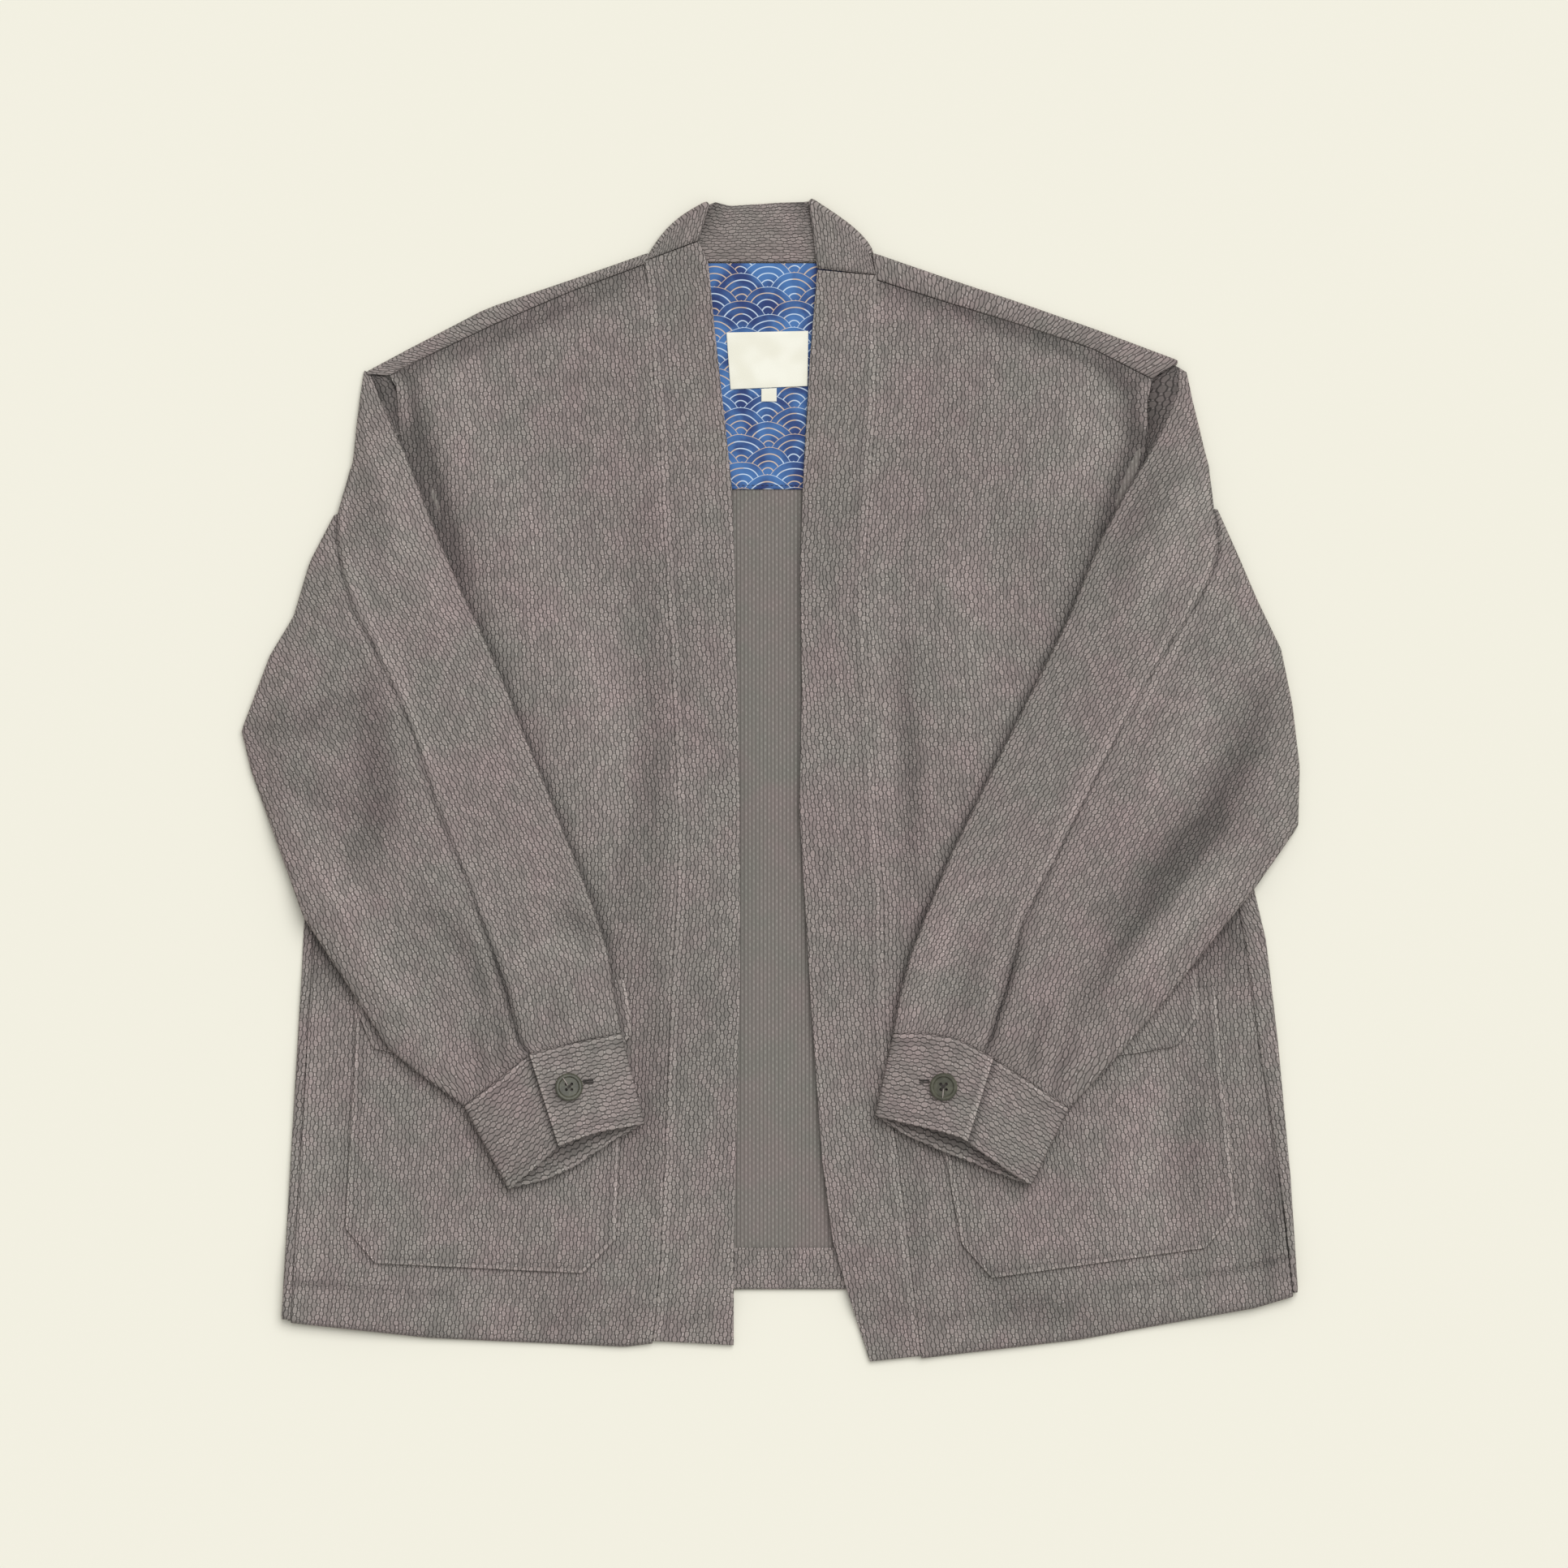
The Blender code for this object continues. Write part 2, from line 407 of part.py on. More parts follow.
# Neck band: up from the left front, over its folded corner, round the back neck and down to the right front
turn = (BAND_MID - BAND / 2) / 2
steps = [0.0, 0.03, 0.5, 0.94, 0.985, 1.0]
thick = [0.55, 1.0, 1.0, 1.0, 0.8, 0.4]


def mitre(corner, end, n_out):
    """Rows of the band as it turns over a folded corner, from the front down to the back."""
    rows = []
    for k in range(7):
        a = math.pi * (1 - k / 6)
        rows.append([(corner[0] + (end[0] - corner[0]) * s + n_out[0] * (turn * math.sin(a) - turn - BAND / 2),
                      corner[1] + (end[1] - corner[1]) * s + n_out[1] * (turn * math.sin(a) - turn - BAND / 2),
                      BAND / 2 + turn * (1 - math.cos(a))) for s in steps])
    return rows


def unit(x, y):
    d = math.hypot(x, y)
    return (x / d, y / d)


out_l = unit(-(MITRE_L[1][1] - MITRE_L[0][1]), MITRE_L[1][0] - MITRE_L[0][0])
out_r = unit(MITRE_R[1][1] - MITRE_R[0][1], -(MITRE_R[1][0] - MITRE_R[0][0]))
cross_l = [[(CROSS_L[0][0] + (CROSS_L[1][0] - CROSS_L[0][0]) * s, CROSS_L[0][1] + (CROSS_L[1][1] - CROSS_L[0][1]) * s + GAP, BAND_MID)
            for s in steps]]
cross_r = [[(CROSS_R[0][0] + (CROSS_R[1][0] - CROSS_R[0][0]) * s, CROSS_R[0][1] + (CROSS_R[1][1] - CROSS_R[0][1]) * s + GAP, BAND_MID)
            for s in steps]]
rows = cross_l + mitre(*MITRE_L, out_l)
for lo, hi in zip(NECK_LOW, NECK_TOP):
    rows.append([(lo[0] + (hi[0] - lo[0]) * s, lo[1] + (hi[1] - lo[1]) * s, BAND / 2) for s in steps])
rows += mitre(*MITRE_R, out_r)[::-1] + cross_r
verts = [p for r in rows for p in r]
wall("band_neck", verts, [f[::-1] for f in grid(len(steps), len(rows))], [BAND / 2 * t for _ in rows for t in thick])

# Neck facing, label and size tab, flat on the inside of the back
FACE_T, LABEL_T = 0.8, 0.4


def slab(name, loop, low, thick, colour, rough):
    n = len(loop)
    verts = [(x, y, low) for x, y in loop] + [(x, y, low + thick) for x, y in loop]
    faces = [tuple(range(n - 1, -1, -1)), tuple(range(n, 2 * n))]
    faces += [(i, (i + 1) % n, (i + 1) % n + n, i + n) for i in range(n)]
    body(name, verts, faces, colour, rough)


x0, y0, x1, y1 = FACING
slab("neck_facing", [(x0, y0), (x1, y0), (x1, y1), (x0, y1)], CLOTH + GAP, FACE_T, (0.07, 0.16, 0.36), 0.7)
slab("label", LABEL, CLOTH + 2 * GAP + FACE_T, LABEL_T, (0.93, 0.92, 0.82), 0.6)
slab("size_tab", SIZE_TAB, CLOTH + 2 * GAP + FACE_T, LABEL_T, (0.93, 0.92, 0.82), 0.6)


def patch_on(name, table, rise, sign, su, tops=None):
    """A pocket or a flap: the front's own surface inside its outline, moved out by its layers."""
    left = [(r[0], r[1]) for r in table]
    right = [(r[2], r[3]) for r in table]
    verts, half = [], []
    for j, (a, b) in enumerate(zip(left, right)):
        for u in su:
            x, y = a[0] + (b[0] - a[0]) * u, a[1] + (b[1] - a[1]) * u
            d = rise if tops is None or j > 0 else tops
            verts.append((x, y, front_mid(x, y) + d))
            half.append(CLOTH / 2)
    faces = [f[::-1] for f in grid(len(su), len(table))]
    wall(name, verts, faces, half)


def denser(table, shares):
    """More rows between those of a table."""
    out = []
    for a, b in zip(table, table[1:]):
        for t in shares:
            out.append(tuple(p + (q - p) * t for p, q in zip(a, b)))
    return out + [table[-1]]


side_steps = [0.0, 0.12, 0.25, 0.38, 0.5, 0.62, 0.75, 0.88, 1.0]
patch_on("pocket_left", denser(POCKET_L, (0.0, 0.25, 0.5, 0.75)), STEP + 0.15, -1, side_steps)
patch_on("pocket_right", denser(POCKET_R, (0.0, 0.25, 0.5, 0.75)), STEP + 0.15, 1, side_steps)
patch_on("pocket_flap_left", FLAP_L, 2 * STEP + 0.15, -1, side_steps, STEP + 0.5)
patch_on("pocket_flap_right", FLAP_R, 2 * STEP + 0.15, 1, side_steps, STEP + 0.5)


def cuff_edge(table, u, column):
    return np.array([np.interp(u, [r[0] for r in table], [r[column] for r in table]),
                     np.interp(u, [r[0] for r in table], [r[column + 1] for r in table])])


CUFF_BASE = 8.6 + CUFF / 2


def cuff_point(table, u, w, lap, v):
    """A point of the cuff's middle: u across, w from low to high, v from the seam to the mouth."""
    uu = min(max(u, 0.05), 0.95)
    open_ = (5.2 + (MOUTH - 5.2) * v) * math.sin(math.pi * uu) ** 0.6
    seam = cuff_edge(table, u, 1)
    end = cuff_edge(table, u, 3) * w + cuff_edge(table, u, 5) * (1 - w)
    p = seam + (end - seam) * v
    return (p[0], p[1], CUFF_BASE + w * (CUFF + GAP + open_) + lap * (CUFF + GAP))


def cuff(name, table, sign):
    rows_v = [0.0, 0.25, 0.5, 0.75, 1.0]
    verts = [cuff_point(table, u, w, lap, v) for v in rows_v for u, w, lap in CUFF_WAY]
    faces = grid(len(CUFF_WAY), len(rows_v))
    if sign > 0:
        faces = [f[::-1] for f in faces]
    wall(name, verts, faces, CUFF / 2)


cuff("cuff_left", CUFF_L, 1)
cuff("cuff_right", CUFF_R, -1)


def sleeve(side, table, cuff_table, sign):
    """Two lengths of a sleeve, upper and under, each one rounded solid that holds its folded layers."""
    for piece in ("upper", "under"):
        loops = []
        for k, (ix, iy, ox, oy, cut, tx, ty, on) in enumerate(table):
            if piece == "under" and cut > 0.99:
                continue
            wide = math.hypot(ox - ix, oy - iy)
            rise = PUFF * ease(wide / 130.0) * (0.55 if k == len(table) - 1 else 1.0)
            fold = min(FOLD, 1.2 + wide * 0.16)
            d = GAP / 2 / wide
            lo, hi = (0.0, min(1.0, cut - d)) if piece == "upper" else (cut + d, 1.0)
            if cut > 0.99 and piece == "upper":
                hi = 1.0

            def at(u):
                if k == len(table) - 1:
                    s = cuff_edge(cuff_table, u, 1)
                    return s[0], s[1] + 0.45
                return ix + (ox - ix) * u, iy + (oy - iy) * u

            def base(u):
                x, y = at(u)
                return floor(x, y) if on else 0.4

            def height(u):
                near = min(u, 1 - u) * wide
                edge = math.sqrt(max(0.0, 1 - (1 - min(1.0, near / 2.6)) ** 2))
                seam = 0.5 * math.exp(-((u - cut) * wide / 3.0) ** 2) if cut < 0.99 else 0.0
                return fold * (0.5 + 0.5 * edge) + rise * math.sin(math.pi * min(1, max(0, u))) ** 0.8 - seam

            rim = 2.6 / wide
            if piece == "upper":
                us = [0.0, rim * 0.3, rim] + [rim + (hi - rim) * t for t in (0.1, 0.22, 0.36, 0.5, 0.64, 0.78, 0.9)]
                us += [hi]
            else:
                rim = min(rim, (1 - lo) * 0.6)
                us = [lo + (1 - rim - lo) * t for t in (0.0, 0.12, 0.26, 0.4, 0.55, 0.7, 0.85, 1.0)] + [1 - rim * 0.3, 1.0]
            top_pts = []
            for u in us:
                x, y = at(u)
                top_pts.append((x, y, base(u) + height(u)))
            low_pts = []
            for n, u in enumerate(us):
                x, y = at(u)
                lift = 0.0
                near = min(u, 1 - u) * wide
                lift = fold * 0.42 * (1 - math.sqrt(max(0.0, 1 - (1 - min(1.0, near / 2.6)) ** 2)))
                low_pts.append((x, y, base(u) + (lift if on else lift * 0.5)))
            if piece == "upper":
                zt = 3.6 if not on else top_pts[0][2] - 0.5 * (top_pts[0][2] - low_pts[0][2])
                tip = [(tx, ty, 1.9 if not on else low_pts[0][2] + 0.1), (tx, ty, zt)]
                if not on:
                    top_pts[0] = (ix, iy, 3.7)
                loop = tip + top_pts + low_pts[::-1]
                if not on:
                    loop[-1] = (ix, iy, 1.9)
            else:
                loop = top_pts + low_pts[::-1]
            loops.append(loop)
        n = len(loops[0])
        verts = [p for loop in loops for p in loop]
        faces = []
        for j in range(len(loops) - 1):
            for i in range(n):
                a, b = j * n + i, j * n + (i + 1) % n
                faces.append((a, b, b + n, a + n))
        first = 1 if piece == "upper" else 0       # the loop's upper side starts at its inner end
        end = (len(loops) - 1) * n
        for i in range(n // 2 - 1):
            a, b = (first + i) % n, (first + i + 1) % n
            c, d = (first - 2 - i) % n, (first - 1 - i) % n
            faces.append((a, d, c, b))
            faces.append((end + a, end + b, end + c, end + d))
        if sign > 0:
            faces = [f[::-1] for f in faces]
        body("sleeve_%s_%s" % (piece, side), verts, faces)


sleeve("left", SLEEVE_L, CUFF_L, -1)
sleeve("right", SLEEVE_R, CUFF_R, 1)


def button(name, cx, cy, table):
    """A four-hole button that sits on the cuff's overlap, tilted with it."""
    pts = []
    for u in np.linspace(0.15, 0.56, 22):
        lap = float(np.interp(u, [w[0] for w in CUFF_WAY[:7]][::-1], [w[2] for w in CUFF_WAY[:7]][::-1]))
        for v in np.linspace(0.2, 0.9, 15):
            p = cuff_point(table, u, 1.0, lap, v)
            if math.hypot(p[0] - cx, p[1] - cy) < BUTTON_R + 1.5:
                pts.append((p[0] - cx, p[1] - cy, p[2] + CUFF / 2))
    pts = np.array(pts)
    fit, *_ = np.linalg.lstsq(np.c_[pts[:, :2], np.ones(len(pts))], pts[:, 2], rcond=None)
    rest = float((pts[:, 2] - pts[:, :2] @ fit[:2]).max()) + 0.35
    n = 40
    # Columns: radius, height
    profile = [(BUTTON_R - 0.7, 0.0), (BUTTON_R, 0.8), (BUTTON_R, 2.0), (BUTTON_R - 0.9, BUTTON_T),
               (BUTTON_R - 2.0, BUTTON_T), (BUTTON_R - 2.8, 2.1)]
    verts, faces = [], []
    for r, h in profile:
        for k in range(n):
            a = 2 * math.pi * k / n
            verts.append((r * math.cos(a), r * math.sin(a), h))
    for j in range(len(profile) - 1):
        for k in range(n):
            a, b = j * n + k, j * n + (k + 1) % n
            faces.append((a, b, b + n, a + n))
    faces.append(tuple(range(n - 1, -1, -1)))
    faces.append(tuple((len(profile) - 1) * n + k for k in range(n)))
    tilt = lambda p: (cx + p[0], cy + p[1], rest + p[2] + fit[0] * p[0] + fit[1] * p[1])
    obj = body(name, [tilt(p) for p in verts], faces, (0.075, 0.074, 0.055), 0.38)
    holes = []
    for sx in (-1, 1):
        for sy in (-1, 1):
            m, hr = 12, 1.0
            ring = [(1.75 * sx + hr * math.cos(2 * math.pi * k / m), 1.75 * sy + hr * math.sin(2 * math.pi * k / m)) for k in range(m)]
            hv = [tilt((x, y, -1.0)) for x, y in ring] + [tilt((x, y, 5.0)) for x, y in ring]
            hf = [tuple(range(m - 1, -1, -1)), tuple(range(m, 2 * m))]
            hf += [(k, (k + 1) % m, (k + 1) % m + m, k + m) for k in range(m)]
            holes.append((hv, hf))
    verts = [v for hv, _ in holes for v in hv]
    faces = [tuple(i + 24 * k for i in f) for k, (_, hf) in enumerate(holes) for f in hf]
    cutter = body(name + "_holes", verts, faces)
    cutter.display_type = "WIRE"
    cutter.hide_render = True
    mod = obj.modifiers.new("holes", "BOOLEAN")
    mod.operation, mod.solver, mod.object = "DIFFERENCE", "EXACT", cutter
    return obj


button("button_left", -129.0, -195.8, CUFF_L)
button("button_right", 110.2, -195.8, CUFF_R)
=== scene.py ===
"""Sashiko jacket laid flat: cloth, seams, print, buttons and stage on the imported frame.

Sizes are millimetres in the frame's axes until metres() places them.
"""

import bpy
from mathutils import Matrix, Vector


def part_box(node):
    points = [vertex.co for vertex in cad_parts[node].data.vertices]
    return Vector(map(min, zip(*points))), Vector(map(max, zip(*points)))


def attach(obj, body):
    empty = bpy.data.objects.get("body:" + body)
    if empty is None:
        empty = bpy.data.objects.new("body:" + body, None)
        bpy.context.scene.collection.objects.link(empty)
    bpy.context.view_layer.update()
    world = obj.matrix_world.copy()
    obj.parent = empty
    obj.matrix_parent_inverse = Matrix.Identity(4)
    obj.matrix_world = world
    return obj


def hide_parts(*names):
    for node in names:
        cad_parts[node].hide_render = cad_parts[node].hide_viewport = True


bl_info = {
    "name": "Sashiko jacket, laid flat",
    "version": (1, 0, 0),
    "blender": (4, 5, 0),
    "location": "3D View > Sidebar > Garment",
    "description": "Builds a flat-laid jacket in rice-grain cotton over its packed frame",
    "category": "Object",
}

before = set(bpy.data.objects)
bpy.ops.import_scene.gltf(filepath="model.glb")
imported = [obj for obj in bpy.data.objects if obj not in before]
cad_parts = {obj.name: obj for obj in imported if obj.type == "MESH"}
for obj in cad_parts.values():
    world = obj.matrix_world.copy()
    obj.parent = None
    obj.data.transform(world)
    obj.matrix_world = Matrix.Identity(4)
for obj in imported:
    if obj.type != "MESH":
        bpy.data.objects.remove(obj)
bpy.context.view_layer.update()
import math

import bmesh
import bpy
import numpy as np
from mathutils import Matrix, Vector

# Driving sizes, the same as in the construction
CLOTH, BAND, CUFF, GAP = 1.5, 2.8, 2.4, 0.3
BACK_MID, FRONT_MID, BAND_MID = 0.75, 2.9, 4.55
STEP, TURN_UP, PUFF, FOLD, MOUTH = 1.8, 25.0, 10.0, 4.4, 8.0
CENTRE = (0.25, -0.13)
ARM_FOOT = 68.4        # y where a side ends and its armhole begins

# Depth of a cuff and width of a band, for the run of their weave
CUFF_DEEP, BAND_WIDE = 54.0, 48.0

# Stage: the light's direction, its spread in radians, the sky's strength, and the camera straight above
LIGHT_FROM, LIGHT_SPREAD, SKY = (0.3, 0.46, 0.84), 0.9, 0.5
CAMERA_AT, LENS = (0.00857, -0.00247, 8.0), 286.7

# Edges of the two fronts and the bands. Columns: x, y
SEAM_L = [
    (-81.1, 329.9), (-78.5, 313.3), (-76.4, 272.7), (-71.2, 218.1), (-70.2, 184.9), (-63.4, 68.4),
    (-59.3, -20), (-59.8, -66.8), (-63.4, -124), (-68.1, -243.6), (-71.2, -311.2), (-75.9, -358.9),
]
SEAM_R = [
    (67.1, 320.6), (67.6, 292), (66.6, 240), (63.4, 188), (60, 136), (60.6, 94.4), (63.4, 58),
    (67.2, -20), (71.8, -72), (72.8, -150), (78, -217.6), (96.2, -368.5),
]
OPEN_L = [
    (-46.3, 345.2), (-40, 331), (-36.4, 292), (-25, 188), (-23.4, 136), (-19.8, -20), (-19.8, -124),
    (-22.4, -243.6), (-23.9, -299.8), (-23.9, -361.7),
]
OPEN_R = [
    (29.6, 327), (25, 271.2), (20.8, 198.4), (18.7, 136), (19.8, 58), (18.2, -20), (26, -150),
    (32.8, -243.6), (39.5, -294.6), (47.8, -324.2), (63.4, -372.1),
]
SIDE_L = [
    (-313.6, -345), (-306.8, -228), (-300.6, -124), (-299, -87.6), (-295.4, 32), (-291.2, 68.4),
]
SIDE_R = [
    (337.5, -327.9), (332.8, -254), (324.5, -165.6), (317.2, -103.2), (309.4, -69.4), (301.6, 32),
    (297.4, 68.4),
]
ARM_L = [
    (-291.2, 68.4), (-270.4, 99.6), (-250.6, 136), (-239.2, 177.6), (-238.2, 219.2), (-239.7, 251.4),
    (-244.4, 258.6),
]
ARM_R = [
    (297.4, 68.4), (275.6, 99.6), (254.8, 136), (243.4, 177.6), (241.8, 214), (240.8, 240),
    (243.9, 256.6),
]
HEM_L = [(-313.6, -345.0), (-275.6, -349.2), (-218.4, -355.4), (-93.6, -361.1), (-75.9, -358.9)]
HEM_R = [(96.2, -368.5), (197.6, -356.5), (309.9, -336.2), (337.5, -327.9)]
TOP_L = [(-252.0, 263.4), (-234.0, 275.3), (-182.0, 302.4), (-130.0, 320.0), (-81.5, 336.5)]
TOP_R = [(67.5, 336.9), (113.0, 321.6), (161.2, 305.5), (210.0, 288.2), (256.4, 270.6)]
YOKE_L = [(-244.4, 259.2), (-231.4, 266.5), (-177.8, 292.0), (-129.0, 313.0), (-81.5, 330.4)]
YOKE_R = [(67.5, 320.6), (112.0, 306.5), (160.0, 291.8), (206.0, 276.6), (243.9, 257.2)]
BACK_HEM = [
    (-313.6, -345), (-234, -336.2), (-130, -328.9), (-23.9, -324.2), (47.8, -324.2), (182, -325.3),
    (337.5, -327.9),
]
WRAP_L = 4.0           # how far the back laps round the left side to its seam
WRAP_R = [
    (1.2, -327.9), (3.4, -279), (6.5, -237.4), (10.2, -177.6), (11.5, -145.3), (11.8, -112.6),
    (11, -69.4),
]

# Rounded forms of the fronts. Columns: x, y, half width, half length, rise
FORMS = [
    (-150, 175, 50, 90, 1.1), (-112, 10, 26, 110, 0.9), (-205, 235, 34, 26, -0.5),
    (-98, -150, 16, 60, -0.4), (135, 190, 46, 90, 1.2), (100, 60, 18, 110, -0.6),
    (128, -10, 20, 80, 0.9), (92, -90, 12, 90, 0.7),
]

# Sleeves. Columns: inner x, y, outer x, y, seam place across, tip x, y of the layer below,
# 0 low or 1 on the fronts
SLEEVE_L = [
    (-256.6, 260.6, -260.4, 262.4, 1, -253.6, 262, 0),
    (-253.4, 252.5, -261.6, 256, 1, -246, 257.4, 0),
    (-249.6, 242.6, -263.1, 245.2, 1, -240.5, 249, 0),
    (-242.3, 225.9, -265.7, 224, 1, -238.8, 226.4, 0),
    (-239.6, 219.6, -266.4, 215, 1, -238.8, 220.2, 1),
    (-235, 210.9, -267.8, 203.6, 1, -234.6, 211, 1),
    (-224.6, 184.9, -279.8, 169.8, 0.96, -224.2, 185.1, 1),
    (-213.2, 154.7, -295.4, 139.6, 0.77, -212.8, 154.9, 1),
    (-196.6, 117.3, -305.8, 104.8, 0.65, -196.2, 117.5, 1),
    (-187.2, 98.5, -320.8, 80, 0.51, -186.8, 98.7, 1),
    (-171.6, 63.2, -339, 32, 0.39, -171.2, 63.4, 1),
    (-158.6, 30.4, -332.8, 6, 0.385, -158.2, 30.5, 1),
    (-144.6, -3.4, -319.8, -30.4, 0.40, -144.2, -3.3, 1),
    (-123.8, -55.4, -299, -87.6, 0.395, -123.4, -55.3, 1),
    (-112.8, -84, -265.2, -139.6, 0.43, -112.4, -83.9, 1),
    (-104, -111, -245.4, -171, 0.456, -103.6, -110.9, 1),
    (-99.8, -140.7, -223.6, -189, 0.50, -99.4, -140.6, 1),
    (-95.7, -161.1, -196.6, -207.8, 0.57, -95.3, -161.1, 1),
]
SLEEVE_R = [
    (261.4, 264.2, 266, 261.4, 1, 258.4, 267.2, 0), (260.9, 256, 268, 253, 1, 247.8, 258.8, 0),
    (260.5, 249.3, 269.4, 245.2, 1, 243.2, 248, 0), (251.7, 227, 274.6, 224, 1, 242.7, 226, 0),
    (243.8, 212, 277.6, 211, 1, 242.7, 212, 1), (241, 206.4, 279.8, 203.6, 1, 240.6, 206.4, 1),
    (226.2, 182.8, 286, 173.4, 0.96, 225.8, 182.9, 1),
    (211.1, 153.7, 299, 144.3, 0.86, 210.7, 153.8, 1),
    (200.2, 127.7, 311.5, 115.2, 0.68, 199.8, 127.8, 1),
    (189.3, 101.1, 326.6, 84, 0.50, 188.9, 101.2, 1), (173.2, 68.9, 333.8, 48.6, 0.41, 172.8, 69, 1),
    (156, 34.6, 338.5, 8.6, 0.35, 155.6, 34.7, 1), (137.8, -1.8, 337.5, -29.4, 0.32, 137.4, -1.7, 1),
    (116, -46, 309.4, -69.4, 0.333, 115.6, -45.9, 1),
    (100.9, -82.4, 280.8, -104.8, 0.335, 100.5, -82.3, 1),
    (89.4, -111.5, 251.2, -142.2, 0.395, 89, -111.4, 1),
    (83.2, -134.4, 221.5, -177.1, 0.44, 82.8, -134.3, 1),
    (78, -161.4, 190.8, -209.2, 0.54, 77.6, -161.4, 1),
]

# Cuffs. Columns: place across, seam x, y, near mouth x, y, far mouth x, y
CUFF_L = [
    (0, -95.7, -161.8, -80.6, -219.7, -80.6, -219.7),
    (0.27, -125.3, -168, -110.2, -224.9, -103, -232),
    (0.57, -154.4, -174.9, -135.7, -233.6, -125, -247),
    (0.79, -177.3, -194.1, -152, -249, -141, -254.6),
    (1, -196.6, -208.7, -168, -261.8, -168, -261.8),
]
CUFF_R = [
    (0, 78, -162.1, 66, -214.5, 66, -214.5), (0.18, 98.3, -161.9, 87.9, -219.7, 84, -226),
    (0.36, 119.1, -165.5, 105, -223.6, 106, -236), (0.54, 138.8, -175.9, 122.2, -228.5, 129, -245),
    (0.76, 162, -191, 146, -246, 148, -252.8), (1, 190.8, -210.1, 166.4, -259.2, 166.4, -259.2),
]
# The way round a cuff, from the overlap's end to the tucked end.
# Columns: place across, height from 0 low to 1 high, lap
CUFF_WAY = [
    (0.57, 1, 1), (0.50, 1, 1), (0.43, 1, 1), (0.33, 1, 0.75), (0.22, 1, 0.5), (0.12, 1, 0.25),
    (0.05, 1, 0.08), (0.018, 0.82, 0), (0.012, 0.5, 0), (0.018, 0.18, 0), (0.05, 0, 0),
    (0.18, 0, 0), (0.36, 0, 0), (0.54, 0, 0), (0.70, 0, 0), (0.85, 0, 0), (0.95, 0, 0),
    (0.984, 0.18, 0), (0.99, 0.5, 0), (0.984, 0.82, 0), (0.95, 1, 0), (0.86, 1, 0), (0.76, 1, 0),
    (0.66, 1, 0), (0.57, 1, 0), (0.49, 1, 0),
]

# Pockets and flaps, down each side from the top. Columns: left x, y, right x, y
POCKET_L = [
    (-266.2, -137, -96.2, -137), (-266.2, -171.3, -96.6, -175), (-269.4, -229, -97.6, -235),
    (-272.5, -286.8, -98.8, -293), (-253.2, -309.1, -120.6, -315.4),
]
POCKET_R = [
    (105, -144.8, 284.4, -131.8), (107.4, -180, 288.2, -180), (111.6, -240, 293.2, -228),
    (122.2, -297.2, 298, -276.9), (141.4, -318.5, 277.7, -299.3),
]
FLAP_L = [
    (-264.2, -127.7, -94.1, -127.7), (-264.2, -134, -92.6, -134), (-264.2, -150, -89.6, -150),
    (-259.5, -160.7, -89.4, -163), (-254.8, -171.3, -99, -172.6), (-237.6, -174.9, -116, -175.6),
]
FLAP_R = [
    (98.8, -132.6, 272, -120.4), (99.2, -140, 272.3, -127.2), (99.8, -156, 273.5, -149),
    (101, -170, 266.8, -160), (112, -183.6, 260, -169.8), (128, -187.4, 232.4, -174.4),
]

# Neck: the band's folded corners, its edges and the facing inside. Columns: x, y
MITRE_L = ((-78.0, 337.7), (-41.5, 371.0))
MITRE_R = ((65.0, 337.7), (26.2, 373.0))
CROSS_L = ((-79.4, 332.4), (-46.3, 345.6))
CROSS_R = ((66.0, 323.4), (29.6, 327.5))
NECK_LOW = [
    (-66, 333.6), (-52, 332.3), (-40, 331.9), (-6, 331.9), (28, 331.9), (40, 332.3), (54, 333.8),
]
NECK_TOP = [
    (-35.5, 370.3), (-31, 369), (-26, 367.9), (-6, 369.2), (6, 370), (14, 370.2), (20.5, 370.4),
]
NECKLINE = [
    (-81.5, 333.2), (-60, 332.4), (-40, 331.5), (-6, 331.5), (28, 331.5), (46, 332.4), (67.5, 333.2),
]
FACING = (-60.0, 186.4, 46.0, 331.1)
LABEL = [(-28.6, 286.8), (-26.0, 250.4), (23.4, 252.5), (23.9, 287.8)]
SIZE_TAB = [(-6.2, 250.8), (-6.2, 242.6), (3.6, 242.6), (3.6, 251.2)]

